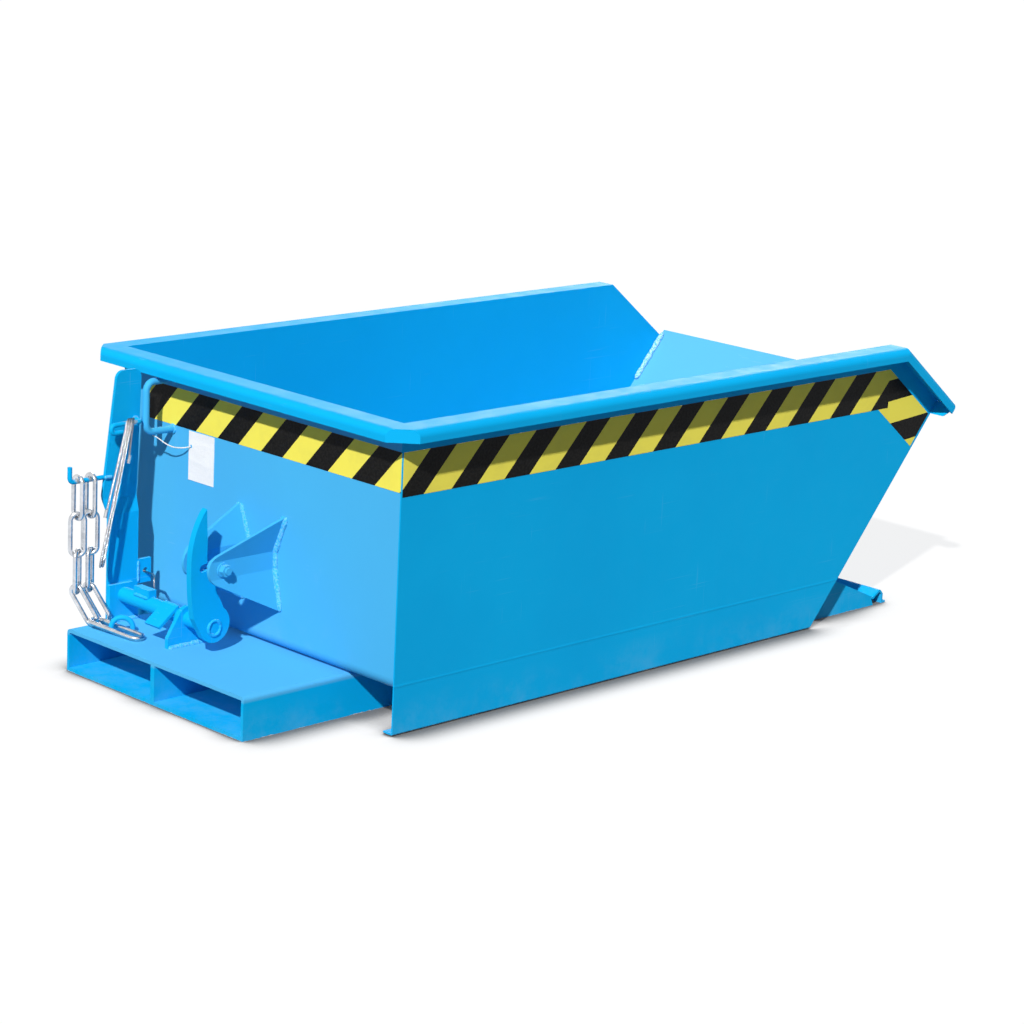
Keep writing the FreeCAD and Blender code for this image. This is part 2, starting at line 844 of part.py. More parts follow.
def latch_hook():
    """Flat hook with its lobe round the shaft and a throat that takes the catch bolt when it is shut."""
    def at(dx, dz):
        return V(shaft_x + dx, 0, shaft_z + dz)

    bolt_dx = catch_x - shaft_x
    bolt_dz = catch_z - shaft_z
    reach = math.hypot(bolt_dx, bolt_dz)
    shut = math.atan2(bolt_dx, bolt_dz) - math.radians(hook_shut)
    wide = bolt_r + throat_gap

    def on_ring(r, turn):
        return at(r * math.sin(turn), r * math.cos(turn))

    beak_turn = math.asin((bolt_dx - bolt_r - beak_clear) / (reach + wide))
    jaw_turn = math.asin(jaw_dx / (reach - wide))
    mouth_mid = on_ring(reach, shut - wide / reach)
    back = [at(*p) for p in hook_back]
    tip = at(hook_tip_dx, hook_tip_dz)
    tip_back = at(hook_tip_back_dx, hook_tip_back_dz)
    beak_low = on_ring(reach + wide, beak_turn)
    beak_top = V(beak_low.x + fit_gap, 0, shaft_z + beak_dz)
    over_end = on_ring(reach + wide, shut)
    over_mid = on_ring(reach + wide, (shut + beak_turn) / 2)
    under_end = on_ring(reach - wide, shut)
    jaw_top = on_ring(reach - wide, jaw_turn)
    jaw_mid = on_ring(reach - wide, (shut + jaw_turn) / 2)
    low = at(*jaw_low)
    lobe = at(*lobe_top)
    lobe_mid = at(hook_lobe * math.sqrt(0.5), -hook_lobe * math.sqrt(0.5))
    lobe_end = at(-hook_lobe * math.sqrt(0.75), -hook_lobe / 2)
    edges = [
        Part.makeLine(tip_back, tip),
        Part.makeLine(tip, beak_top),
        Part.makeLine(beak_top, beak_low),
        Part.Arc(beak_low, over_mid, over_end).toShape(),
        Part.Arc(over_end, mouth_mid, under_end).toShape(),
        Part.Arc(under_end, jaw_mid, jaw_top).toShape(),
        Part.makeLine(jaw_top, low),
        Part.makeLine(low, lobe),
        Part.Arc(lobe, lobe_mid, lobe_end).toShape(),
        Part.makeLine(lobe_end, back[4]),
        Part.Arc(back[4], back[3], back[2]).toShape(),
        Part.Arc(back[2], back[1], back[0]).toShape(),
        Part.makeLine(back[0], tip_back),
    ]
    face = Part.Face(Part.Wire(edges))
    y0 = catch_mid_y - hook_t / 2
    face.translate(V(0, y0, 0))
    body = face.extrude(V(0, hook_t, 0))
    return body.cut(round_y(shaft_x, shaft_z, shaft_r + fit_gap, y0 - overrun, y0 + hook_t + overrun))


def latch_tab():
    """Foot tab laid on the shaft's upper rear and falling to the rear."""
    fall = math.radians(tab_fall)
    r = shaft_r + fit_gap
    start = (shaft_x - r * math.sin(fall), shaft_z + r * math.cos(fall))
    along = (-math.cos(fall), -math.sin(fall))
    out = (-math.sin(fall), math.cos(fall))
    near = (start[0] - along[0] * tab_t, start[1] - along[1] * tab_t)
    end = (start[0] + along[0] * tab_l, start[1] + along[1] * tab_l)
    points = [
        near, end,
        (end[0] + out[0] * tab_t, end[1] + out[1] * tab_t),
        (near[0] + out[0] * tab_t, near[1] + out[1] * tab_t)]
    return prism_xz(points, tab_y0, tab_y0 + tab_w)


def latch_block():
    body = box(
        shaft_x - block_w / 2, shaft_x + block_w / 2, block_y0, block_y0 + block_l,
        shaft_z, shaft_z + shaft_r + block_h)
    hole = round_y(shaft_x, shaft_z, shaft_r + fit_gap, block_y0 - overrun, block_y0 + block_l + overrun)
    return body.cut(hole)


# Chain

def link(length):
    """One link about the origin, long along Z and flat in the YZ plane."""
    r = (link_w - link_d) / 2
    half = (length - link_w) / 2
    edges = [
        Part.makeLine(V(0, r, -half), V(0, r, half)),
        Part.Arc(V(0, r, half), V(0, 0, half + r), V(0, -r, half)).toShape(),
        Part.makeLine(V(0, -r, half), V(0, -r, -half)),
        Part.Arc(V(0, -r, -half), V(0, 0, -half - r), V(0, r, -half)).toShape(),
    ]
    return swept(edges, link_d / 2)


def placed(shape, centre, along, normal):
    """A link moved to a centre, its long axis along one direction and its flat side facing another."""
    z = V(*along).normalize()
    x = V(*normal)
    x = x.sub(z * x.dot(z)).normalize()
    y = z.cross(x)
    m = FreeCAD.Matrix(
        x.x, y.x, z.x, centre[0], x.y, y.y, z.y, centre[1], x.z, y.z, z.z, centre[2], 0, 0, 0, 1)
    out = shape.copy()
    out.Placement = FreeCAD.Placement(m)
    return out


link_reach = link_l - link_d
link_pitch = link_l - link_d * 2 - link_play
link_top_z = peg_z + peg_r + seat_gap - (link_l / 2 - link_d)


def strand(x):
    """Links hanging one in the next, the first one threaded on the peg, and the link that slants to the base."""
    one = link(link_l)
    links = []
    for k, twist in enumerate(strand_twists):
        turn = math.radians(twist)
        normal = (math.cos(turn), math.sin(turn), 0)
        links.append(placed(one, (x, peg_y, link_top_z - k * link_pitch), (0, 0, 1), normal))
    head, foot = slant_ends(x)
    mid = (head + foot) / 2
    along = foot.sub(head)
    links.append(placed(one, mid, (along.x, along.y, along.z), slant_normal))
    return links


def slant_ends(x):
    """Head and foot of a slanting link: it leads from a strand's last link down to the base."""
    hung_z = link_top_z - (len(strand_twists) - 1) * link_pitch - link_reach / 2
    hung = V(x, peg_y, hung_z)
    drop = hung_z - slant_rest_z
    run = math.sqrt((link_reach - slant_in) ** 2 - drop ** 2)
    foot = hung + V(slant_head[0], slant_head[1], 0).normalize() * run - V(0, 0, drop)
    back = hung.sub(foot).normalize()
    return foot + back * link_reach, foot


def chain():
    return Part.makeCompound(strand(strand_x) + strand(slack_x))


def laid_link(x, length, heading):
    """A link of some length lying on the base, its head round the foot of a strand's slanting link."""
    slant_top, foot = slant_ends(x)
    head = foot + slant_top.sub(foot).normalize() * long_in
    drop = head.z - long_rest_z
    run = math.sqrt((length - link_d) ** 2 - drop ** 2)
    tail = head + V(heading[0], heading[1], 0).normalize() * run - V(0, 0, drop)
    mid = (head + tail) / 2
    along = tail.sub(head)
    return placed(link(length), mid, (along.x, along.y, along.z), (0, 0, 1))


def long_link():
    return laid_link(strand_x, long_l, long_head)


def chain_eye():
    turn = math.radians(eye_turn)
    u = V(math.cos(turn), math.sin(turn), 0)
    c = V(eye_x, eye_y, base_top + eye_leg)
    up = V(0, 0, 1)
    a = c - u * eye_r
    b = c + u * eye_r
    edges = [
        Part.makeLine(a - up * eye_leg, a),
        Part.Arc(a, c + up * eye_r, b).toShape(),
        Part.makeLine(b, b - up * eye_leg),
    ]
    return swept(edges, eye_rod_r)


# Rope hank

def biarc(p0, t0, p1, t1):
    """Two arcs that leave p0 along t0 and reach p1 along t1."""
    v = p1.sub(p0)
    t = t0 + t1
    den = 2 * (1 - t0.dot(t1))
    vt = v.dot(t)
    if abs(den) < level_gap:
        d = v.dot(v) / (4 * v.dot(t1))
    else:
        d = (-vt + math.sqrt(vt * vt + den * v.dot(v))) / den
    q0 = p0 + t0 * d
    q1 = p1 - t1 * d
    joint = (q0 + q1) / 2
    return [arc_from(p0, t0, joint), arc_from(joint, q1.sub(q0).normalize(), p1)]


def arc_from(p, t, q):
    """The arc from p to q that leaves p along t, or a line where they are in one."""
    chord = q.sub(p)
    side = chord.sub(t * chord.dot(t))
    if side.Length < level_gap:
        return Part.makeLine(p, q)
    n = side.normalize()
    r = chord.dot(chord) / (2 * chord.dot(n))
    c = p + n * r
    mid_dir = ((p + q) / 2).sub(c)
    mid = c + mid_dir.normalize() * r
    return Part.Arc(p, mid, q).toShape()


def hank_frame():
    """Top and foot of the hank, and its directions down its length and towards its front."""
    top = V(*hank_top)
    low = V(*hank_low)
    down = low.sub(top).normalize()
    front = V(hank_facing[0], hank_facing[1], 0)
    front = front.sub(down * front.dot(down)).normalize()
    return top, low, down, front


def hank_stops():
    """Points and headings of the rope: up the front, over the rod, down the back and round below, each loop
    beside the last along the rod."""
    top, low, down, front = hank_frame()
    up = down * -1
    folds = hank_loops * 2 + 1

    def beside_last(fold):
        return V(hank_pitch * (fold - hank_loops) / 2, 0, 0)

    stops = [(top + front * hank_half + down * hank_tail_front + beside_last(-1), up)]
    for k in range(folds):
        before = beside_last(k - quarter_share)
        after = beside_last(k + quarter_share)
        if k % 2 == 0:
            stops.append((top + front * hank_half + before, up))
            stops.append((top + up * hank_half + beside_last(k), front * -1))
            stops.append((top - front * hank_half + after, down))
        else:
            stops.append((low - front * hank_half + before, down))
            stops.append((low + down * hank_half + beside_last(k), front))
            stops.append((low + front * hank_half + after, up))
    stops.append((top - front * hank_half + down * hank_tail_back + beside_last(folds), down))
    return stops


def rope_hank():
    stops = hank_stops()
    edges = []
    for (p0, t0), (p1, t1) in zip(stops, stops[1:]):
        edges += biarc(p0, t0, p1, t1)
    length = sum(e.Length for e in edges)
    marks = []
    travel = 0
    for e in edges:
        count = max(2, round(e.Length / mark_step))
        for k, p in enumerate(e.discretize(count + 1)[:-1]):
            marks.append((travel + e.Length * k / count, p))
        travel += e.Length
    gaps = []
    for i, (s, a) in enumerate(marks):
        gaps.append(min([a.sub(b).Length for s2, b in marks[i + 1:] if s2 - s > self_apart], default=length))
    print("rope length", round(length, 1), "least self gap", round(min(gaps) - rope_r * 2, 2))
    radii = [e.Curve.Radius for e in edges if e.Curve.TypeId == "Part::GeomCircle"]
    print("rope least bend radius", round(min(radii), 1))
    return swept(edges, rope_r)


def ferrule(end, into):
    """A crimped sleeve over one rope end, which runs into it from its open face."""
    body = Part.makeCylinder(ferrule_r, ferrule_l, end - into * ferrule_past, into)
    return body.cut(Part.makeCylinder(rope_r + ferrule_gap, ferrule_l, end - into * ferrule_gap, into))


def rope_ferrules():
    stops = hank_stops()
    first, first_heading = stops[0]
    last, last_heading = stops[-1]
    return Part.makeCompound([ferrule(first, first_heading), ferrule(last, last_heading * -1)])


# All pieces, saved by name

def main():
    os.makedirs("parts", exist_ok=True)
    save("trough", trough())
    save("side_left", side_plate())
    save("side_right", mirrored(side_plate()))
    rear, left, right = rim_pieces()
    save("rim_rear", rear)
    save("rim_left", left)
    save("rim_right", right)
    save("tape_rear", rear_tape())
    save("tape_left", side_tape())
    save("tape_right", mirrored(side_tape()))
    save("tape_front_left", front_tape())
    save("tape_front_right", mirrored(front_tape()))
    save("rim_cap_left", rim_cap())
    save("rim_cap_right", mirrored(rim_cap()))
    save("tag", tag())
    save("tag_string", tag_string())
    save("grab_handle", grab_handle())
    save("catch_lug_left", catch_lug())
    save("catch_lug_right", mirrored(catch_lug(), catch_mid_y))
    save("catch_bolt", catch_bolt())
    save("catch_nut", catch_nut())
    save("catch_washers", catch_washers())
    save("hinge_hanger_left", hinge_hanger())
    save("hinge_hanger_right", mirrored(hinge_hanger()))
    save("pocket_shell", pocket_shell())
    save("pocket_floor", pocket_floor())
    save("pocket_web", pocket_web())
    save("cross_bar", cross_bar())
    save("seat_bar", seat_bar())
    save("ramp_sheet", ramp_sheet())
    save("ramp_cheek_left", ramp_web(ramp_half - cheek_t, cheek_t))
    save("ramp_cheek_right", ramp_web(-ramp_half, cheek_t))
    save("ramp_rib_left", ramp_web(rib_y, rib_t))
    save("ramp_rib_mid", ramp_web(-rib_t / 2, rib_t))
    save("ramp_rib_right", ramp_web(-rib_y - rib_t, rib_t))
    outer_fork_y = fork_in_y + fork_t + fork_gap
    save("hinge_fork_left_inner", hinge_fork(fork_in_y))
    save("hinge_fork_left_outer", hinge_fork(outer_fork_y))
    save("hinge_fork_right_inner", mirrored(hinge_fork(fork_in_y)))
    save("hinge_fork_right_outer", mirrored(hinge_fork(outer_fork_y)))
    save("hinge_pin_left", hinge_pin())
    save("hinge_pin_right", mirrored(hinge_pin()))
    save("hinge_washers", Part.makeCompound([hinge_washer(), mirrored(hinge_washer())]))
    save("hinge_cotters", Part.makeCompound([hinge_cotter(), mirrored(hinge_cotter())]))
    save("shaft_bracket_near", near_bracket())
    save("shaft_bracket_far", far_bracket())
    save("post", post())
    save("rope_hook", rope_hook())
    save("chain_peg", chain_peg())
    save("spring_ear", spring_ear())
    save("spring_wire", spring_wire())
    save("latch_shaft", latch_shaft())
    save("latch_hook", latch_hook())
    save("latch_tab", latch_tab())
    save("latch_block", latch_block())
    save("chain_links", chain())
    save("chain_end_link", long_link())
    save("chain_eye", chain_eye())
    save("rope_hank", rope_hank())
    save("rope_ferrules", rope_ferrules())


main()
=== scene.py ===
import math
import bpy
import numpy as np
from mathutils import Matrix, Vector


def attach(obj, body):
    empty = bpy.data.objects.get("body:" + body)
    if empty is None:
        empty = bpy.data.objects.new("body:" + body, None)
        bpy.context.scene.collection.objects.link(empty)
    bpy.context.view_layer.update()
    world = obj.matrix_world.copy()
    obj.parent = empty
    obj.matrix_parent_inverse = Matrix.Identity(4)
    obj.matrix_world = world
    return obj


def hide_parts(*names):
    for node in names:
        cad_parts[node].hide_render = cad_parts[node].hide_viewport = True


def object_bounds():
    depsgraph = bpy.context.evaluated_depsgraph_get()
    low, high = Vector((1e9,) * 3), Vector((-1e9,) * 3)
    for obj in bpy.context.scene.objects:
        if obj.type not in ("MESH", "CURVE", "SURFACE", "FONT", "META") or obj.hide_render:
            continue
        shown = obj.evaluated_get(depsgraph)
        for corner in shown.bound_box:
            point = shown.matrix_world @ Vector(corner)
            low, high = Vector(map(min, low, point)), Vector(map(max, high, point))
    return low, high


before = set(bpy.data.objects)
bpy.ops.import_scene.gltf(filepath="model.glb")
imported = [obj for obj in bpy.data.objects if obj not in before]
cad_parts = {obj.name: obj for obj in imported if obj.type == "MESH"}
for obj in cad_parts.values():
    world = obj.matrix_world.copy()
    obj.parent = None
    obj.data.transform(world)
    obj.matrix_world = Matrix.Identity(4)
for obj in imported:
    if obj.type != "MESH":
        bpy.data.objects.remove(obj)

bl_info = {
    "name": "Tipping skip",
    "version": (1, 0, 0),
    "blender": (4, 5, 0),
    "location": "View3D > Sidebar > Skip",
    "description": "Paint, tape, welds, chain, rope and studio for a low tipping skip",
    "category": "Object",
}

# The drawing counts X in millimetres from the hopper's rear face, the frame from the middle of the base
DRAWING_X = 541.0
cad_low, cad_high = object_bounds()


def at(points):
    """Drawing points in millimetres as frame points in metres: X less the shift, all over a thousand."""
    return (np.asarray(points, dtype=float) - (DRAWING_X, 0.0, 0.0)) / 1000.0


X_WAY = (1.0, 0.0, 0.0)
Y_WAY = (0.0, 1.0, 0.0)
Z_WAY = (0.0, 0.0, 1.0)
WHITE = (1.0, 1.0, 1.0, 1.0)


# Settings that a user would change

COLOUR_RANGE = {"size": 3, "min": 0.0, "max": 1.0, "subtype": "COLOR"}


class SkipPaintSettings(bpy.types.PropertyGroup):
    """Colours and wear of the sprayed paint, with the colours of its painted glints and its painted sunlit
    paleness.
    """
    blue: bpy.props.FloatVectorProperty(
        name="Paint", description="Colour of the sprayed paint", default=(0.002, 0.405, 0.775),
        **COLOUR_RANGE)
    # Real wear where scratches and rubbing show; on weld beads the same colour is a painted highlight for
    # glints of light
    rubbed_and_glint: bpy.props.FloatVectorProperty(
        name="Rubbed paint and glints", description="Colour of scratched and rubbed paint, and of painted glints on welds", default=(0.36, 0.64, 0.88),
        **COLOUR_RANGE)
    # Painted highlight: this pale grey is painted onto sunlit faces to stand in for their paler look in
    # sunlight
    wear_and_sunlit_pale: bpy.props.FloatVectorProperty(
        name="Sunlit paleness", description="Colour painted over faces to stand in for their paler look in sunlight",
        default=(0.66, 0.68, 0.70), **COLOUR_RANGE)
    steel: bpy.props.FloatVectorProperty(
        name="Bare steel", description="Colour of steel where the paint has gone", default=(0.45, 0.46, 0.47),
        **COLOUR_RANGE)
    scuff: bpy.props.FloatProperty(
        name="Scuffing", description="How strongly scratches show", default=0.11, min=0.0, max=1.0,
        subtype="FACTOR")
    dust: bpy.props.FloatProperty(
        name="Dust", description="How much dust lies low on the skip", default=0.08, min=0.0, max=1.0,
        subtype="FACTOR")


class SkipTapeSettings(bpy.types.PropertyGroup):
    """Colours and stripe sizes of the warning tape."""
    yellow: bpy.props.FloatVectorProperty(
        name="Yellow", description="Light stripe of the warning tape", default=(0.85, 0.75, 0.10),
        **COLOUR_RANGE)
    black: bpy.props.FloatVectorProperty(
        name="Black", description="Dark stripe of the warning tape", default=(0.003, 0.003, 0.003),
        **COLOUR_RANGE)
    side_pitch: bpy.props.FloatProperty(
        name="Side pitch", description="Length of one stripe pair along a side", default=0.1165,
        unit="LENGTH")
    rear_pitch: bpy.props.FloatProperty(
        name="Rear pitch", description="Length of one stripe pair along the rear", default=0.1120,
        unit="LENGTH")
    front_pitch: bpy.props.FloatProperty(
        name="Front pitch", description="Height of one stripe pair at the front", default=0.0824,
        unit="LENGTH")
    lean: bpy.props.FloatProperty(
        name="Lean", description="Run of a stripe for each unit of height", default=0.94)


class SkipSteelSettings(bpy.types.PropertyGroup):
    """Colours of the zinc plated and bare steel pieces."""
    zinc: bpy.props.FloatVectorProperty(
        name="Zinc", description="Zinc of the chain, the hinge pins and the ferrules",
        default=(0.74, 0.75, 0.77), **COLOUR_RANGE)
    rope: bpy.props.FloatVectorProperty(
        name="Rope wire", description="Steel of the release rope", default=(0.60, 0.61, 0.62), **COLOUR_RANGE)


class SkipRopeSettings(bpy.types.PropertyGroup):
    """Sizes of the release rope and the tag's twine."""
    diameter: bpy.props.FloatProperty(
        name="Rope diameter", description="Diameter over the rope's strands", default=0.004, unit="LENGTH")
    lay: bpy.props.FloatProperty(
        name="Lay length", description="Length of rope in one turn of a strand", default=0.026, unit="LENGTH")
    strands: bpy.props.IntProperty(
        name="Strands", description="Number of strands in the rope", default=6, min=3, max=9)
    twine: bpy.props.FloatProperty(
        name="Twine diameter", description="Diameter of the tag's twine", default=0.002, unit="LENGTH")


class SkipWeldSettings(bpy.types.PropertyGroup):
    """Sizes of the weld beads."""
    ripple: bpy.props.FloatProperty(
        name="Ripple pitch", description="Distance from one ripple of a bead to the next", default=0.0068,
        unit="LENGTH")
    swell: bpy.props.FloatProperty(
        name="Ripple height", description="Height of a ripple as a share of the bead", default=0.03,
        subtype="FACTOR")


class SkipStageSettings(bpy.types.PropertyGroup):
    """Light and floor of the studio."""
    sun: bpy.props.FloatProperty(
        name="Main light", description="Strength of the main light", default=4.45, min=0.0)
    sky: bpy.props.FloatProperty(
        name="Sky", description="Strength of the light from all round", default=0.22, min=0.0)
    fill: bpy.props.FloatProperty(
        name="Fill light", description="Strength of the light from the far side", default=1.2, min=0.0)
    floor: bpy.props.FloatVectorProperty(
        name="Floor", description="Colour of the floor", default=(0.95, 0.945, 0.94), **COLOUR_RANGE)


# Node helpers

def add(tree, kind, values=None, links=None, **settings):
    """A new node of one kind with its settings, input values and links."""
    made = tree.nodes.new(kind)
    for name, value in settings.items():
        setattr(made, name, value)
    for key, value in (values or {}).items():
        made.inputs[key].default_value = value
    for key, source in (links or {}).items():
        tree.links.new(source, made.inputs[key])
    return made


def sums(tree, how, a, b, clamp=False):
    """One arithmetic node on two values, each a number or another node's output."""
    made = tree.nodes.new("ShaderNodeMath")
    made.operation = how
    made.use_clamp = clamp
    for slot, value in zip(made.inputs, (a, b)):
        if isinstance(value, (int, float)):
            slot.default_value = value
        else:
            tree.links.new(value, slot)
    return made.outputs[0]


def blend_colour(tree, share, first, second, how="MIX"):
    """Two colours mixed by a share, each a colour or another node's output."""
    made = tree.nodes.new("ShaderNodeMix")
    made.data_type = "RGBA"
    made.blend_type = how
    for slot, value in ((made.inputs[0], share), (made.inputs[6], first), (made.inputs[7], second)):
        if isinstance(value, (int, float)):
            slot.default_value = value
        elif isinstance(value, bpy.types.NodeSocket):
            tree.links.new(value, slot)
        else:
            slot.default_value = (value[0], value[1], value[2], 1.0)
    return made.outputs[2]


def ramp(tree, value, low, high, out_low=0.0, out_high=1.0):
    """A value carried from one range smoothly to another and held at its ends."""
    return add(tree, "ShaderNodeMapRange", {
        "From Min": low, "From Max": high, "To Min": out_low, "To Max": out_high}, {"Value": value},
        interpolation_type="SMOOTHSTEP").outputs[0]


def noise(tree, place, scale, detail=2.0, rough=0.5):
    """Cloudy noise of one scale at a place."""
    return add(tree, "ShaderNodeTexNoise", {"Scale": scale, "Detail": detail, "Roughness": rough},
               {"Vector": place}).outputs[0]


def stretched(tree, place, scale, turn=(0.0, 0.0, 0.0)):
    """A place stretched by a scale on each axis and then turned."""
    return add(tree, "ShaderNodeMapping", {"Scale": scale, "Rotation": turn}, {"Vector": place}).outputs[0]


def new_group(name, inputs, outputs):
    """An empty shader group with its named sockets, its input node and its output node."""
    tree = bpy.data.node_groups.new(name, "ShaderNodeTree")
    for label, kind, value in inputs:
        socket = tree.interface.new_socket(label, in_out="INPUT", socket_type=kind)
        if value is not None:
            socket.default_value = value
    for label, kind in outputs:
        tree.interface.new_socket(label, in_out="OUTPUT", socket_type=kind)
    return tree, tree.nodes.new("NodeGroupInput").outputs, tree.nodes.new("NodeGroupOutput").inputs


def use_group(tree, group, values, links):
    """One use of a shader group with its own values and links."""
    return add(tree, "ShaderNodeGroup", values, links, node_tree=group).outputs


def new_material(name):
    """A new material with its Principled shader and the Object coordinates of its piece."""
    made = bpy.data.materials.new(name)
    made.use_nodes = True
    tree = made.node_tree
    shader = tree.nodes["Principled BSDF"]
    place = tree.nodes.new("ShaderNodeTexCoord").outputs["Object"]
    return made, tree, shader, place


def bump(tree, shader, height, distance, strength):
    """A height, in shares of a distance, turned into the shader's normal."""
    made = add(tree, "ShaderNodeBump", {"Strength": strength, "Distance": distance}, {"Height": height})
    tree.links.new(made.outputs[0], shader.inputs["Normal"])


# Shared effects as shader groups

VALUE = "NodeSocketFloat"
COLOUR = "NodeSocketColor"
VECTOR = "NodeSocketVector"


def sprayed_film_group(name):
    """Sprayed paint: a slow cloud of tone, fine scratches where a cloud lets them, and an orange peel."""
    tree, inp, out = new_group(
        name,
        [("Place", VECTOR, None), ("Paint", COLOUR, None), ("Rubbed", COLOUR, None), ("Scuff", VALUE, 0.5)],
        [("Color", COLOUR), ("Roughness", VALUE), ("Height", VALUE)])
    place = inp["Place"]
    tone = ramp(tree, noise(tree, place, 2.6, 4.0, 0.55), 0.3, 0.7)
    darker = blend_colour(tree, 1.0, inp["Paint"], (0.90, 0.93, 0.96), "MULTIPLY")
    toned = blend_colour(tree, tone, darker, inp["Paint"])
    level = stretched(tree, place, (7.0, 30.0, 420.0), (0.0, 0.16, 0.0))
    upright = stretched(tree, place, (380.0, 30.0, 9.0), (0.0, 0.5, 0.3))
    level_lines = ramp(tree, noise(tree, level, 1.0, 1.0), 0.70, 0.76)
    upright_lines = ramp(tree, noise(tree, upright, 1.0, 1.0), 0.71, 0.77)
    patch = ramp(tree, noise(tree, place, 5.5, 2.0), 0.50, 0.68)
    scratch = sums(tree, "MULTIPLY", sums(tree, "MAXIMUM", level_lines, upright_lines), patch)
    scratch = sums(tree, "MULTIPLY", scratch, inp["Scuff"], True)
    tree.links.new(blend_colour(tree, scratch, toned, inp["Rubbed"]), out["Color"])
    rough = ramp(tree, noise(tree, place, 38.0, 3.0), 0.25, 0.75, 0.52, 0.62)
    tree.links.new(sums(tree, "ADD", rough, sums(tree, "MULTIPLY", scratch, 0.25)), out["Roughness"])
    peel = noise(tree, place, 520.0, 2.0)
    wave = noise(tree, place, 16.0, 2.0)
    height = sums(tree, "ADD", sums(tree, "MULTIPLY", peel, 0.12), sums(tree, "MULTIPLY", wave, 0.5))
    tree.links.new(sums(tree, "SUBTRACT", height, sums(tree, "MULTIPLY", scratch, 0.10)), out["Height"])
    return tree


def worn_edge_group(name):
    """Wear along one straight edge: full on a plane, broken up by noise, and gone at a width from it."""
    tree, inp, out = new_group(
        name,
        [("Place", VECTOR, None), ("Across", VECTOR, Z_WAY), ("Offset", VALUE, 0.0), ("Width", VALUE, 0.004)],
        [("Mask", VALUE)])
    ends = {0: inp["Place"], 1: inp["Across"]}
    far = add(tree, "ShaderNodeVectorMath", None, ends, operation="DOT_PRODUCT")
    gap = sums(tree, "ABSOLUTE", sums(tree, "SUBTRACT", far.outputs["Value"], inp["Offset"]), 0.0)
    fine = noise(tree, inp["Place"], 130.0, 3.0, 0.6)
    broad = noise(tree, inp["Place"], 21.0, 2.0)
    ragged = sums(tree, "SUBTRACT", sums(tree, "ADD", fine, broad), 0.95)
    edge = sums(tree, "MULTIPLY", ragged, sums(tree, "MULTIPLY", inp["Width"], 5.0))
    soft = sums(tree, "MULTIPLY", inp["Width"], 0.25)
    share = sums(tree, "DIVIDE", sums(tree, "SUBTRACT", edge, gap), soft)
    tree.links.new(sums(tree, "MULTIPLY", share, 1.0, True), out["Mask"])
    return tree


def rubbed_spot_group(name):
    """Rubbing round one point: full inside a radius and broken up by noise towards its edge."""
    tree, inp, out = new_group(
        name,
        [("Place", VECTOR, None), ("Centre", VECTOR, (0.0, 0.0, 0.0)), ("Radius", VALUE, 0.02)],
        [("Mask", VALUE)])
    ends = {0: inp["Place"], 1: inp["Centre"]}
    far = add(tree, "ShaderNodeVectorMath", None, ends, operation="DISTANCE")
    near = sums(tree, "SUBTRACT", 1.0, sums(tree, "DIVIDE", far.outputs["Value"], inp["Radius"]))
    ragged = sums(tree, "SUBTRACT", noise(tree, inp["Place"], 210.0, 3.0, 0.65), 0.62)
    tree.links.new(sums(tree, "MULTIPLY", sums(tree, "ADD", near, ragged), 3.0, True), out["Mask"])
    return tree


def settled_dust_group(name):
    """Dust that thins with height: a fall from one level to another, broken up by two scales of noise."""
    tree, inp, out = new_group(
        name,
        [("Place", VECTOR, None), ("Low", VALUE, 0.0), ("High", VALUE, 0.1), ("Amount", VALUE, 0.3)],
        [("Mask", VALUE)])
    parts = add(tree, "ShaderNodeSeparateXYZ", None, {"Vector": inp["Place"]}).outputs
    fall = add(tree, "ShaderNodeMapRange", {"To Min": 1.0, "To Max": 0.0}, {
        "Value": parts["Z"], "From Min": inp["Low"], "From Max": inp["High"]}).outputs[0]
    fine = noise(tree, inp["Place"], 26.0, 5.0, 0.7)
    broad = noise(tree, inp["Place"], 5.0, 2.0)
    dusty = ramp(tree, sums(tree, "MULTIPLY", fine, broad), 0.16, 0.42)
    lying = sums(tree, "MULTIPLY", fall, dusty)
    tree.links.new(sums(tree, "MULTIPLY", lying, inp["Amount"], True), out["Mask"])
    return tree


def zinc_bloom_group(name):
    """Zinc: patches of slightly different grey with a fine grain of roughness and a shallow grain height."""
    tree, inp, out = new_group(
        name,
        [("Place", VECTOR, None), ("Zinc", COLOUR, None), ("Patch", VALUE, 160.0)],
        [("Color", COLOUR), ("Roughness", VALUE), ("Height", VALUE)])
    cells = add(tree, "ShaderNodeTexVoronoi", None, {"Vector": inp["Place"], "Scale": inp["Patch"]}).outputs
    grey = add(tree, "ShaderNodeSeparateColor", None, {"Color": cells["Color"]}).outputs[0]
    dim = blend_colour(tree, 1.0, inp["Zinc"], (0.66, 0.67, 0.69), "MULTIPLY")
    stain = ramp(tree, noise(tree, inp["Place"], 42.0, 4.0, 0.6), 0.35, 0.7)
    shade = sums(tree, "ADD", sums(tree, "MULTIPLY", grey, 0.5), sums(tree, "MULTIPLY", stain, 0.5))
    tree.links.new(blend_colour(tree, shade, dim, inp["Zinc"]), out["Color"])
    grain = noise(tree, inp["Place"], 700.0, 2.0)
    rough = ramp(tree, grain, 0.2, 0.8, 0.12, 0.22)
    tree.links.new(sums(tree, "ADD", rough, sums(tree, "MULTIPLY", grey, 0.08)), out["Roughness"])
    tree.links.new(sums(tree, "ADD", grain, sums(tree, "MULTIPLY", stain, 0.6)), out["Height"])
    return tree


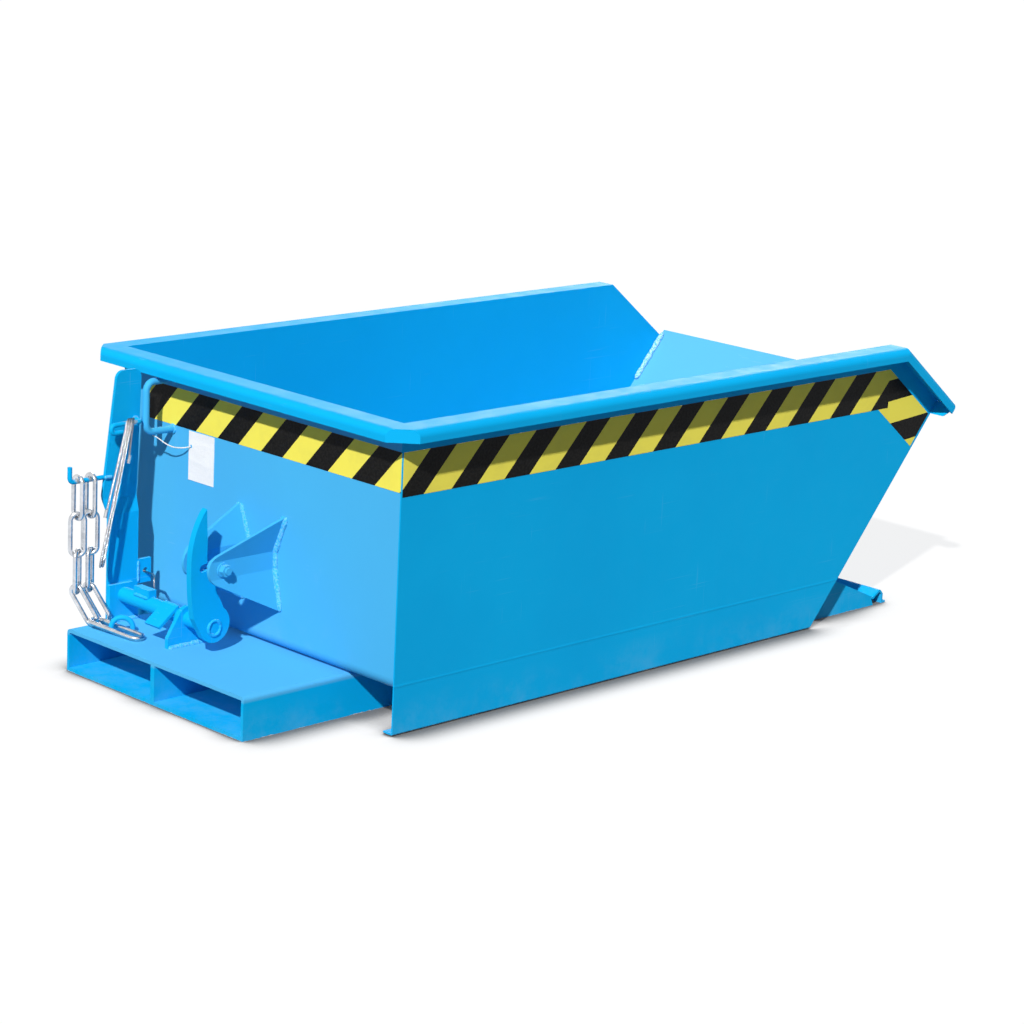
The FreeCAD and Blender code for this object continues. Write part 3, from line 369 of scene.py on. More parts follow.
def leaning_stripe_group(name):
    """Leaning stripes: the run along the tape less a lean times the height, cut by a pitch into two tones."""
    tree, inp, out = new_group(
        name,
        [("Along", VALUE, 0.0), ("Up", VALUE, 0.0), ("Lean", VALUE, 0.94), ("Pitch", VALUE, 0.115),
         ("Start", VALUE, 0.0), ("Share", VALUE, 0.48)],
        [("Dark", VALUE)])
    run = sums(tree, "SUBTRACT", inp["Along"], sums(tree, "MULTIPLY", inp["Up"], inp["Lean"]))
    turn = sums(tree, "DIVIDE", sums(tree, "SUBTRACT", run, inp["Start"]), inp["Pitch"])
    share = sums(tree, "FRACT", turn, 0.0)
    tree.links.new(sums(tree, "LESS_THAN", share, inp["Share"]), out["Dark"])
    return tree


# Paint on the steel work

DUST_COLOUR = (0.55, 0.58, 0.60)
SEAM_RISE = 1.1


def blue_material(name, groups, scuff, dust_low, dust_high, edges=(), spots=(), seams=(), pale=0.0,
                  glint_colour=None, sunlit_paling=(), gloss=0.08):
    """Sprayed blue steel: film, dust, edges worn to steel, rubbed spots, ground seams, pale flecks that are
    painted glints of light, and painted paleness of sunlit faces. Each sunlit face gives an axis, where along
    it the painted paleness starts, where it is full, and how much. Each seam gives an axis, its level there
    and its half width."""
    paint = bpy.context.scene.skip_paint
    made, tree, shader, place = new_material(name)
    film = use_group(tree, groups["film"], {
        "Paint": (*paint.blue, 1.0), "Rubbed": (*paint.rubbed_and_glint, 1.0), "Scuff": scuff}, {"Place": place})
    dust = use_group(tree, groups["dust"], {"Low": dust_low, "High": dust_high, "Amount": paint.dust},
                     {"Place": place})["Mask"]
    parts = add(tree, "ShaderNodeSeparateXYZ", None, {"Vector": place}).outputs
    colour = blend_colour(tree, dust, film["Color"], DUST_COLOUR)
    # Painted highlight: pale flecks mottled over the bead stand in for glints of light on the weld
    if pale > 0.0:
        glint_flecks = ramp(tree, noise(tree, place, 330.0, 3.0, 0.6), 0.36, 0.64, 0.15 * pale, pale)
        colour = blend_colour(tree, glint_flecks, colour, tuple(glint_colour or paint.rubbed_and_glint))
    # Painted highlight: each sunlit face is mixed towards a pale colour along an axis, for its paler look in
    # sunlight
    for axis, start, full, amount in sunlit_paling:
        sunlit_share = ramp(tree, parts[axis], start, full, 0.0, amount)
        colour = blend_colour(tree, sunlit_share, colour, tuple(paint.wear_and_sunlit_pale))
    wear = [("edge", {"Across": across, "Offset": offset, "Width": width}) for across, offset, width in edges]
    wear += [("spot", {"Centre": centre, "Radius": radius}) for centre, radius in spots]
    bare = None
    for kind, values in wear:
        mask = use_group(tree, groups[kind], values, {"Place": place})["Mask"]
        bare = mask if bare is None else sums(tree, "MAXIMUM", bare, mask)
    rough = sums(tree, "ADD", film["Roughness"], sums(tree, "MULTIPLY", dust, 0.35))
    height = film["Height"]
    if bare is not None:
        colour = blend_colour(tree, bare, colour, tuple(paint.steel))
        height = sums(tree, "SUBTRACT", height, sums(tree, "MULTIPLY", bare, 0.35))
        tree.links.new(sums(tree, "MULTIPLY", bare, 0.85), shader.inputs["Metallic"])
    for axis, level, width in seams:
        gap = sums(tree, "ABSOLUTE", sums(tree, "SUBTRACT", parts[axis], level), 0.0)
        wander = sums(tree, "MULTIPLY", noise(tree, place, 30.0, 2.0), 0.002)
        rise = ramp(tree, sums(tree, "ADD", gap, wander), 0.0, width, 1.0, 0.0)
        lumps = sums(tree, "ADD", 0.6, sums(tree, "MULTIPLY", noise(tree, place, 90.0, 2.0), 0.8))
        seam = sums(tree, "MULTIPLY", rise, sums(tree, "MULTIPLY", lumps, SEAM_RISE))
        height = sums(tree, "ADD", height, seam)
    tree.links.new(colour, shader.inputs["Base Color"])
    tree.links.new(rough, shader.inputs["Roughness"])
    shader.inputs["Specular IOR Level"].default_value = gloss
    bump(tree, shader, height, 0.0006, 0.7)
    return made


# Faces painted paler to stand in for the sun's light on them, each an axis, where the painted paleness
# starts, where it is full, and how much
FRONT_SUNLIT_PALING = ("X", 0.47, 0.53, 0.16)
REAR_SUNLIT_PALING = ("X", -0.52, -0.535, 0.095)
FITTING_SUNLIT_PALING = ("Z", 0.05, 0.12, 0.075)
BASE_TOP_SUNLIT_PALING = ("Z", 0.061, 0.066, 0.12)

# Wear and seams: the ground seam along a side, bare edges, and spots that the rope and the chain rub
SIDE_SEAM = ("Z", 0.083, 0.0045)
EDGE_WEAR = 0.0006
FLANGE_TOP = 0.0025
RUBBED_SPOTS = [
    ((-95.0, 213.0, 418.0), 0.016), ((-184.0, 234.0, 326.0), 0.012), ((-158.0, 234.0, 326.0), 0.012)]

HOPPER_SHEETS = [
    "rim_rear", "rim_left", "rim_right", "rim_cap_left", "rim_cap_right", "hinge_hanger_left",
    "hinge_hanger_right"]
HOPPER_SIDES = ["side_left", "side_right"]
HOPPER_FITTINGS = [
    "grab_handle", "catch_lug_left", "catch_lug_right", "catch_bolt", "catch_nut", "catch_washers"]
BASE_SHEETS = ["pocket_shell", "pocket_floor", "pocket_web"]
BASE_FRONT = [
    "cross_bar", "seat_bar", "ramp_sheet", "ramp_cheek_left", "ramp_cheek_right", "ramp_rib_left",
    "ramp_rib_mid", "ramp_rib_right", "hinge_fork_left_inner", "hinge_fork_left_outer",
    "hinge_fork_right_inner", "hinge_fork_right_outer"]
BASE_FITTINGS = [
    "shaft_bracket_near", "shaft_bracket_far", "post", "rope_hook", "chain_peg", "spring_ear", "chain_eye"]
LATCH_PIECES = ["latch_shaft", "latch_hook", "latch_tab", "latch_block"]
ZINC_PIECES = [
    "hinge_pin_left", "hinge_pin_right", "hinge_washers", "hinge_cotters", "chain_links", "chain_end_link",
    "rope_ferrules"]

GROUP_MAKERS = {
    "film": ("Sprayed film", sprayed_film_group), "edge": ("Worn edge", worn_edge_group),
    "spot": ("Rubbed spot", rubbed_spot_group), "dust": ("Settled dust", settled_dust_group),
    "zinc": ("Zinc bloom", zinc_bloom_group), "stripe": ("Leaning stripe", leaning_stripe_group)}


def shared_groups():
    """The shader groups that several materials use, each built once."""
    return {key: bpy.data.node_groups.get(name) or maker(name) for key, (name, maker) in GROUP_MAKERS.items()}


def dress(names, material):
    """One material on each named CAD node."""
    for name in names:
        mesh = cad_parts[name].data
        mesh.materials.clear()
        mesh.materials.append(material)


class SKIP_OT_paint(bpy.types.Operator):
    """Paints the hopper, the base and the latch"""
    bl_idname = "skip.paint"
    bl_label = "Paint"

    def execute(self, context):
        paint = context.scene.skip_paint
        groups = shared_groups()
        z_low = float(cad_low.z)
        ground_wear = [(Z_WAY, z_low, EDGE_WEAR)]
        flange_wear = [(Z_WAY, z_low + FLANGE_TOP, EDGE_WEAR)]
        rubbed = [(tuple(at(centre)), radius) for centre, radius in RUBBED_SPOTS]
        dress(HOPPER_SHEETS, blue_material("Blue hopper sheet", groups, paint.scuff, 0.05, 0.16))
        # Painted highlight: the trough's sunlit front and rear faces are painted paler
        dress(["trough"], blue_material(
            "Blue trough", groups, paint.scuff, 0.05, 0.16, sunlit_paling=[FRONT_SUNLIT_PALING, REAR_SUNLIT_PALING]))
        dress(HOPPER_SIDES, blue_material(
            "Blue hopper side", groups, paint.scuff * 0.7, z_low, 0.07, edges=flange_wear, seams=[SIDE_SEAM]))
        # Painted highlight: the fittings are painted paler above their feet for the sun's light on them
        dress(HOPPER_FITTINGS, blue_material(
            "Blue fitting", groups, paint.scuff, 0.1, 0.15, sunlit_paling=[FITTING_SUNLIT_PALING]))
        # Painted reflection: the top of the base is painted paler in place of its grazing sheen, whose gloss
        # is set to nought
        dress(BASE_SHEETS, blue_material(
            "Blue base", groups, paint.scuff, z_low, 0.06, edges=ground_wear, sunlit_paling=[BASE_TOP_SUNLIT_PALING],
            gloss=0.0))
        dress(BASE_FRONT, blue_material("Blue ramp", groups, paint.scuff, z_low, 0.06, edges=ground_wear))
        dress(BASE_FITTINGS, blue_material("Blue bracket", groups, paint.scuff, 0.07, 0.12, spots=rubbed))
        dress(LATCH_PIECES, blue_material("Blue latch", groups, paint.scuff, 0.08, 0.12))
        return {"FINISHED"}


# Warning tape, where Start is the place of a stripe's edge and Low the height that its lean counts from

DARK_SHARE = 0.485
SIDE_START_X = -9.0
SIDE_LOW = 0.393
REAR_START = -0.2099
REAR_LOW = 0.400
FRONT_START = -0.3955
FRONT_TILT = 0.072


def tape_material(name, groups, axis, run, lean, pitch, start, up_from):
    """Printed plastic tape: leaning stripes, faint creases and a little grime."""
    tape = bpy.context.scene.skip_tape
    made, tree, shader, place = new_material(name)
    parts = add(tree, "ShaderNodeSeparateXYZ", None, {"Vector": place}).outputs
    along = sums(tree, "MULTIPLY", parts[axis], run)
    up = sums(tree, "SUBTRACT", parts["Z"], up_from)
    stripe = {"Lean": lean, "Pitch": pitch, "Start": start, "Share": DARK_SHARE}
    dark = use_group(tree, groups["stripe"], stripe, {"Along": along, "Up": up})["Dark"]
    grime = ramp(tree, noise(tree, place, 17.0, 5.0, 0.65), 0.42, 0.80, 0.0, 0.22)
    yellow = blend_colour(tree, grime, tuple(tape.yellow), (0.46, 0.42, 0.10))
    wear_and_sunlit_pale = ramp(tree, noise(tree, place, 240.0, 3.0, 0.6), 0.30, 0.75, 0.0, 0.05)
    black = blend_colour(tree, wear_and_sunlit_pale, tuple(tape.black), (0.22, 0.20, 0.18))
    tree.links.new(blend_colour(tree, dark, yellow, black), shader.inputs["Base Color"])
    rough = ramp(tree, noise(tree, place, 70.0, 3.0), 0.3, 0.7, 0.30, 0.45)
    tree.links.new(rough, shader.inputs["Roughness"])
    shader.inputs["Specular IOR Level"].default_value = 0.05
    crease = noise(tree, stretched(tree, place, (9.0, 9.0, 60.0)), 1.0, 3.0)
    bump(tree, shader, crease, 0.0005, 0.5)
    return made


class SKIP_OT_tape(bpy.types.Operator):
    """Stripes the warning tape on the rear, both sides and their front ends"""
    bl_idname = "skip.tape"
    bl_label = "Warning tape"

    def execute(self, context):
        tape = context.scene.skip_tape
        groups = shared_groups()
        side_start = float(at([SIDE_START_X, 0.0, 0.0])[0])
        dress(["tape_left", "tape_right"], tape_material(
            "Side tape", groups, "X", 1.0, tape.lean, tape.side_pitch, side_start, SIDE_LOW))
        dress(["tape_front_left", "tape_front_right"], tape_material(
            "Front tape", groups, "X", FRONT_TILT, 1.0, tape.front_pitch, FRONT_START, 0.0))
        dress(["tape_rear"], tape_material(
            "Rear tape", groups, "Y", -1.0, tape.lean, tape.rear_pitch, REAR_START, REAR_LOW))
        return {"FINISHED"}


# Zinc plated pieces

def zinc_material(name, groups, colour, patch):
    """Zinc plated steel with its bloom of patches."""
    made, tree, shader, place = new_material(name)
    bloom = use_group(tree, groups["zinc"], {"Zinc": (*colour, 1.0), "Patch": patch}, {"Place": place})
    tree.links.new(bloom["Color"], shader.inputs["Base Color"])
    tree.links.new(bloom["Roughness"], shader.inputs["Roughness"])
    shader.inputs["Metallic"].default_value = 1.0
    bump(tree, shader, bloom["Height"], 0.0002, 0.35)
    return made


class SKIP_OT_zinc(bpy.types.Operator):
    """Plates the chain, the hinge pins and the ferrules with zinc"""
    bl_idname = "skip.zinc"
    bl_label = "Zinc pieces"

    def execute(self, context):
        steel = context.scene.skip_steel
        groups = shared_groups()
        dress(ZINC_PIECES, zinc_material("Bright zinc", groups, tuple(steel.zinc), 170.0))
        dress(["spring_wire"], zinc_material("Spring wire", groups, (0.42, 0.43, 0.44), 240.0))
        return {"FINISHED"}


# Surfaces

def put_mesh(name, points, faces, material, smooth=True):
    """A mesh object at the origin from arrays of points and of face corners."""
    mesh = bpy.data.meshes.new(name)
    mesh.from_pydata(points.tolist(), [], faces)
    mesh.polygons.foreach_set("use_smooth", np.full(len(mesh.polygons), smooth))
    mesh.materials.append(material)
    mesh.update()
    piece = bpy.data.objects.new(name, mesh)
    bpy.context.collection.objects.link(piece)
    return piece


def grid_faces(rows, columns, ring=False):
    """Corners of the quads of a grid whose columns close, and whose rows close where it is a ring."""
    last = rows if ring else rows - 1
    i, j = np.meshgrid(np.arange(last), np.arange(columns), indexing="ij")
    down = (i + 1) % rows
    right = (j + 1) % columns
    corners = ((i, j), (i, right), (down, right), (down, j))
    quads = np.stack([row * columns + column for row, column in corners], axis=-1)
    return quads.reshape(-1, 4).tolist()


def cap_faces(rows, columns):
    """Corners of the two end faces of an open tube of that many rings."""
    ring = np.arange(columns)
    return [ring[::-1].tolist(), (ring + (rows - 1) * columns).tolist()]


def along_path(path, count):
    """Points, unit tangents and distances at equal steps of length along a path of points."""
    step = np.linalg.norm(np.diff(path, axis=0), axis=1)
    travel = np.concatenate(([0.0], np.cumsum(step)))
    where = np.linspace(0.0, travel[-1], count)
    spread = np.stack([np.interp(where, travel, path[:, k]) for k in range(3)], axis=1)
    tangent = np.gradient(spread, axis=0)
    tangent /= np.linalg.norm(tangent, axis=1, keepdims=True)
    return spread, tangent, where


BEAD_SIDES = 14
RIPPLE_ROWS = 7


def bead_surface(path, radius, ripple, swell, seed, ring=False, flat=1.0, facing=Z_WAY):
    """A weld bead: a circle carried along a path, whose radius swells in slanting ripples and wavers slowly.
    Unless the path is a ring, its ends close almost to points: the radius falls with the tenth power of the
    distance from the middle."""
    length = np.linalg.norm(np.diff(path, axis=0), axis=1).sum()
    rows = int(max(24, min(420, length / ripple * RIPPLE_ROWS)))
    columns = BEAD_SIDES
    spread, tangent, where = along_path(path, rows + 1 if ring else rows)
    if ring:
        spread = spread[:-1]
        where = where[:-1]
        tangent = np.roll(spread, -1, axis=0) - np.roll(spread, 1, axis=0)
        tangent /= np.linalg.norm(tangent, axis=1, keepdims=True)
    facing = np.asarray(facing)
    up = facing - tangent * (tangent @ facing)[:, None]
    up /= np.linalg.norm(up, axis=1, keepdims=True)
    side = np.cross(tangent, up)
    angle = np.linspace(0.0, 2.0 * np.pi, columns, endpoint=False)
    share = where / length
    phase = 2.0 * np.pi * np.round(length / ripple) * share
    turn = 2.0 * np.pi * share
    waver = 1.0 + 0.09 * np.sin(3.0 * turn + seed) + 0.05 * np.sin(7.0 * turn + 2.1 * seed)
    waver += 0.03 * np.sin(13.0 * turn + 0.7 * seed)
    slant = 0.9 * np.cos(angle)[None, :]
    size = radius * waver[:, None] * (1.0 + swell * np.sin(phase[:, None] + slant))
    if not ring:
        ends = np.clip(1.0 - np.abs(2.0 * share - 1.0) ** 10.0, 0.0, 1.0) ** 0.4
        size = size * np.maximum(ends, 0.02)[:, None]
    rise = up[:, None, :] * (np.sin(angle) * flat)[None, :, None]
    lean = side[:, None, :] * np.cos(angle)[None, :, None]
    points = spread[:, None, :] + (rise + lean) * size[:, :, None]
    faces = grid_faces(rows, columns, ring)
    if not ring:
        faces += cap_faces(rows, columns)
    return points.reshape(-1, 3), faces


CIRCLE_STEPS = 72


def circle_path(centre, radius, first, second):
    """A closed circle about a centre in the plane of two directions."""
    turn = np.linspace(0.0, 2.0 * np.pi, CIRCLE_STEPS + 1)[:, None]
    around = np.cos(turn) * np.asarray(first) + np.sin(turn) * np.asarray(second)
    return at(np.asarray(centre) + radius * around)


def joined(parts):
    """Several surfaces as one array of points and one list of faces."""
    points = []
    faces = []
    first = 0
    for some, corners in parts:
        points.append(some)
        faces += [[c + first for c in face] for face in corners]
        first += len(some)
    return np.concatenate(points), faces


# Welds, with places in the drawing's millimetres and the beads' radii in metres

CATCH_MID_Y = -20.0
LUG_HALF = 30.0
LUG_T = 6.0
LUG_EDGE = [(16.0, 140.0), (0.0, 209.0), (0.0, 241.0), (25.0, 302.0)]
REAR_WELD_X = -1.0
REAR_CORNER = (4.0, 350.0)
REAR_SPAN = (480.0, 110.0)
HANDLE_Y = 218.0
HANDLE_LEGS = (392.0, 478.0)
FRONT_RUN = 1.0 / math.tan(math.radians(49.7))
FRONT_FOOT = (1026.0, 2.5)
FRONT_OFF = (-5.4, 3.6)
FRONT_SPAN = (308.0, 396.0)
FRONT_Y = 346.0

# Straight beads on the base, each two ends, a radius, a seed and the way that the bead faces
BASE_RUNS = [
    ((-142.0, 39.0, 74.0), (-63.0, 39.0, 74.0), 0.0046, 39.0, Z_WAY),
    ((-142.0, 49.0, 74.0), (-63.0, 49.0, 74.0), 0.0046, 49.0, Z_WAY),
    ((-128.0, 214.0, 74.0), (-68.0, 214.0, 74.0), 0.0042, 214.0, Z_WAY),
    ((-128.0, 230.0, 74.0), (-68.0, 230.0, 74.0), 0.0042, 230.0, Z_WAY),
    ((-133.0, 229.8, 322.0), (-118.0, 229.8, 322.0), 0.0030, 2.2, Z_WAY),
    ((-65.5, 222.6, 132.0), (-65.5, 222.6, 170.0), 0.0022, 4.4, X_WAY),
    ((-203.0, 6.0, 66.0), (-90.0, 6.0, 66.0), 0.0030, 5.1, Z_WAY),
    ((-203.0, -6.0, 66.0), (-90.0, -6.0, 66.0), 0.0030, 5.6, Z_WAY)]
EYE_MID = np.array([-145.5, 160.0, 74.0])
EYE_HALF = 18.0
EYE_TURN = math.radians(-36.87)
ROPE_HOOK_ROOT = (-70.0, 230.4, 414.0)
SHAFT_MID = np.array([-100.0, 0.0, 118.0])
HOOK_FACES = ((-26.0, 0.0028), (-13.6, 0.0036))
TAB_FALL = math.radians(38.0)
TAB_SPAN = (62.0, 98.0)
BLOCK_EDGES = (-109.0, -91.0)
BLOCK_SPAN = (139.0, 177.0)
BLOCK_FOOT = 130.0


def lug_path(side, off):
    """The line where one side of a catch lug meets the rear wall."""
    return at([(REAR_WELD_X, CATCH_MID_Y + side * (LUG_HALF + out + off), z) for out, z in LUG_EDGE])


def front_corner(y):
    """The top of the inner corner of the sloping front sheet and a side, along the sheet's inner face."""
    z = np.linspace(*FRONT_SPAN, 4)
    x = FRONT_FOOT[0] + (z - FRONT_FOOT[1]) * FRONT_RUN
    return at(np.stack((x + FRONT_OFF[0], np.full(4, y), z + FRONT_OFF[1]), axis=1))


def hopper_beads(ripple, swell):
    """Beads on the hopper: both sides of each catch lug, the inner rear corners and the handle's legs."""
    parts = []
    for side in (1.0, -1.0):
        for off, radius, seed in ((-1.5, 0.0052, 1.0), (LUG_T + 1.5, 0.0060, 3.0)):
            parts.append(bead_surface(
                lug_path(side, off), radius, ripple, swell, seed + side, flat=0.8, facing=X_WAY))
        rear = at([(REAR_CORNER[0], side * REAR_CORNER[1], z) for z in REAR_SPAN])
        parts.append(bead_surface(rear, 0.0028, ripple, swell, 6.0 + side, facing=X_WAY))
    for z in HANDLE_LEGS:
        ring = circle_path((REAR_WELD_X, HANDLE_Y, z), 6.6, Y_WAY, Z_WAY)
        parts.append(bead_surface(ring, 0.0022, ripple, swell, z, ring=True, facing=X_WAY))
    return parts


def corner_beads(ripple, swell):
    """Beads in the hopper's inner front corners, where each side meets the sloping front."""
    return [bead_surface(front_corner(side * FRONT_Y), 0.0052, ripple, swell, 5.0 + side, facing=X_WAY)
            for side in (1.0, -1.0)]


def base_beads(ripple, swell):
    """Beads on the base: the web, feet of bracket, post and eye, and roots of the hooks and the ear."""
    parts = [bead_surface(at(ends), radius, ripple, swell, seed, facing=way)
             for *ends, radius, seed, way in BASE_RUNS]
    reach = EYE_HALF * np.array([math.cos(EYE_TURN), math.sin(EYE_TURN), 0.0])
    for sign in (1.0, -1.0):
        ring = circle_path(EYE_MID + sign * reach, 5.2, X_WAY, Y_WAY)
        parts.append(bead_surface(ring, 0.0024, ripple, swell, sign, ring=True))
    ring = circle_path(ROPE_HOOK_ROOT, 4.6, X_WAY, Z_WAY)
    parts.append(bead_surface(ring, 0.0020, ripple, swell, 1.3, ring=True, facing=Y_WAY))
    return parts


def latch_beads(ripple, swell):
    """Beads on the latch: round the shaft on the hook's faces, along the tab and along the block."""
    parts = []
    for y, radius in HOOK_FACES:
        ring = circle_path(SHAFT_MID + (0.0, y, 0.0), 12.4, X_WAY, Z_WAY)
        parts.append(bead_surface(ring, radius, ripple, swell, y, ring=True, facing=Y_WAY))
    out = np.array([-math.sin(TAB_FALL), 0.0, math.cos(TAB_FALL)])
    down = np.array([-math.cos(TAB_FALL), 0.0, -math.sin(TAB_FALL)])
    above = SHAFT_MID + out * 15.5 - down * 5.5
    under = SHAFT_MID + out * 10.0 + down * 11.0
    for line, radius, seed in ((above, 0.0036, 2.0), (under, 0.0030, 2.6)):
        path = at([line + (0.0, y, 0.0) for y in TAB_SPAN])
        parts.append(bead_surface(path, radius, ripple, swell, seed))
    for x in BLOCK_EDGES:
        path = at([(x, y, BLOCK_FOOT) for y in BLOCK_SPAN])
        parts.append(bead_surface(path, 0.0028, ripple, swell, x))
    return parts


class SKIP_OT_welds(bpy.types.Operator):
    """Lays the weld beads on the hopper, the base and the latch"""
    bl_idname = "skip.welds"
    bl_label = "Welds"

    def execute(self, context):
        weld = context.scene.skip_weld
        paint = context.scene.skip_paint
        groups = shared_groups()
        # Painted highlight: the pale flecks on these beads stand in for glints of light, palest in the inner
        # front corners
        pale = blue_material("Blue weld", groups, paint.scuff, 0.02, 0.10, pale=0.42)
        plain = blue_material("Blue weld under paint", groups, paint.scuff, 0.02, 0.10, pale=0.08)
        corner = blue_material(
            "Pale weld", groups, paint.scuff, 0.02, 0.10, pale=0.85, glint_colour=(0.62, 0.80, 0.92))
        for name, body, maker, material in (
                ("hopper_welds", "hopper", hopper_beads, pale),
                ("corner_welds", "hopper", corner_beads, corner),
                ("base_welds", "base", base_beads, pale),
                ("latch_welds", "latch", latch_beads, plain)):
            points, faces = joined(maker(weld.ripple, weld.swell))
            piece = put_mesh(name, points, faces, material)
            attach(piece, body)
        return {"FINISHED"}


# Cords

def cord_curve(name, points, material=None, radius=0.0):
    """One open spline of order three whose control points are the route's points."""
    curve = bpy.data.curves.new(name, "CURVE")
    curve.dimensions = "3D"
    spline = curve.splines.new("NURBS")
    spline.points.add(len(points) - 1)
    spline.points.foreach_set("co", np.column_stack((points, np.ones(len(points)))).ravel())
    spline.order_u = 3
    spline.use_endpoint_u = True
    spline.resolution_u = 12
    curve.bevel_depth = radius
    curve.bevel_resolution = 5
    curve.use_fill_caps = True
    if material is not None:
        curve.materials.append(material)
    made = bpy.data.objects.new(name, curve)
    bpy.context.collection.objects.link(made)
    return made


HANK_TOP = np.array([-95.0, 214.0, 407.4])
HANK_LOW = np.array([-158.0, 198.0, 193.5])
HANK_HALF = 13.4
HANK_PITCH = 7.2
HANK_CLOSE = 4.8
HANK_LOOPS = 2
HANK_TAIL_FRONT = 150.0
HANK_TAIL_BACK = 60.0
HANK_BOW = 0.8
HANK_FACING = np.array([-0.7, -0.7, 0.0])


def hank_frame():
    """Directions of the hank: down its length, and towards its front square to that."""
    down = HANK_LOW - HANK_TOP
    down = down / np.linalg.norm(down)
    front = HANK_FACING - down * (HANK_FACING @ down)
    return down, front / np.linalg.norm(front)


def hank_route():
    """Route of the rope in the frame: up the front, over the rod, down the back and round below, with three
    points outside each fold, one beside each of its ends and one bowed point on each run."""
    down, front = hank_frame()
    folds = HANK_LOOPS * 2 + 1
    out = HANK_HALF / math.cos(math.radians(30.0))
    corners = np.radians([-30.0, 30.0, 90.0, 150.0, 210.0])
    width = np.cos(corners) * out
    lift = np.sin(corners) * out
    bow = np.cross(down, front) * HANK_BOW

    def shift(fold_and_shade, pitch=HANK_CLOSE):
        return np.array([pitch * (fold_and_shade - HANK_LOOPS) / 2.0, 0.0, 0.0])

    points = [HANK_TOP + front * HANK_HALF + down * HANK_TAIL_FRONT + shift(-1.0, HANK_PITCH)]
    points.append(HANK_TOP + front * HANK_HALF + down * HANK_TAIL_FRONT / 2.0 + shift(-0.6) + bow)
    share = np.linspace(-0.25, 0.25, 5)
    for k in range(folds):
        turned = 1.0 if k % 2 == 0 else -1.0
        middle = HANK_TOP if k % 2 == 0 else HANK_LOW
        for w, h, s in zip(width, lift, share):
            points.append(middle + turned * (front * w - down * h) + shift(k + s))
        if k < folds - 1:
            halfway = (HANK_TOP + HANK_LOW) / 2.0 - front * (HANK_HALF * turned)
            points.append(halfway + shift(k + 0.5) + bow * turned)
    points.append(HANK_TOP - front * HANK_HALF + down * HANK_TAIL_BACK + shift(folds, HANK_PITCH))
    return at(points)


ROPE_STEP = 0.0019
WIRE_SIDES = 9
WIRE_PRESS = 1.04
CORE_SHARE = 0.80


def strand_surface(path, diameter, lay, strands):
    """A laid rope: each strand is a circle carried along a helix round the path, one turn in each lay length,
    and a core fills their middle. Up is the way square to the hank, along which the path never runs."""
    down, front = hank_frame()
    across = np.cross(down, front)
    length = np.linalg.norm(np.diff(path, axis=0), axis=1).sum()
    rows = int(length / ROPE_STEP)
    faces = grid_faces(rows, WIRE_SIDES) + cap_faces(rows, WIRE_SIDES)
    spread, tangent, where = along_path(path, rows)
    up = across - tangent * (tangent @ across)[:, None]
    up /= np.linalg.norm(up, axis=1, keepdims=True)
    side = np.cross(tangent, up)
    half = diameter / 2.0
    wire = half * math.sin(math.pi / strands) / (1.0 + math.sin(math.pi / strands))
    reach = half - wire
    angle = np.linspace(0.0, 2.0 * np.pi, WIRE_SIDES, endpoint=False)[:, None]

    def tube(line, first, second, radius):
        """A circle in the plane of two directions at each point of a line."""
        ring = first[:, None, :] * np.cos(angle) + second[:, None, :] * np.sin(angle)
        return (line[:, None, :] + ring * radius).reshape(-1, 3), faces

    parts = []
    for k in range(strands):
        turn = 2.0 * np.pi * (where / lay + k / strands)
        out = up * np.cos(turn)[:, None] + side * np.sin(turn)[:, None]
        round_way = side * np.cos(turn)[:, None] - up * np.sin(turn)[:, None]
        parts.append(tube(spread + out * reach, out, round_way, wire * WIRE_PRESS))
    parts.append(tube(spread, up, side, reach * CORE_SHARE))
    return joined(parts)


class SKIP_OT_rope(bpy.types.Operator):
    """Hangs the laid release rope in a hank on its hook"""
    bl_idname = "skip.rope"
    bl_label = "Release rope"

    def execute(self, context):
        rope = context.scene.skip_rope
        groups = shared_groups()
        material = zinc_material("Rope wire", groups, tuple(context.scene.skip_steel.rope), 420.0)
        route = hank_route()
        line = cord_curve("rope_line", route)
        bpy.context.view_layer.update()
        seen = bpy.data.meshes.new_from_object(line.evaluated_get(context.evaluated_depsgraph_get()))
        path = np.empty(len(seen.vertices) * 3)
        seen.vertices.foreach_get("co", path)
        path = path.reshape(-1, 3)
        bpy.data.meshes.remove(seen)
        bpy.data.objects.remove(line)
        points, faces = strand_surface(path, rope.diameter, rope.lay, rope.strands)
        piece = put_mesh("release_rope", points, faces, material)
        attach(piece, "base")
        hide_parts("rope_hank")
        return {"FINISHED"}


TWINE_ROUTE = [
    (-1.05, 168.0, 371.0), (-10.0, 172.0, 368.0), (-26.0, 193.0, 368.0), (-40.0, 214.0, 384.7),
    (-40.0, 222.0, 384.7)]
CARD_TONES = ((0.77, 0.78, 0.79), (0.87, 0.87, 0.86))
TWINE_TONES = ((0.58, 0.57, 0.54), (0.86, 0.85, 0.82))


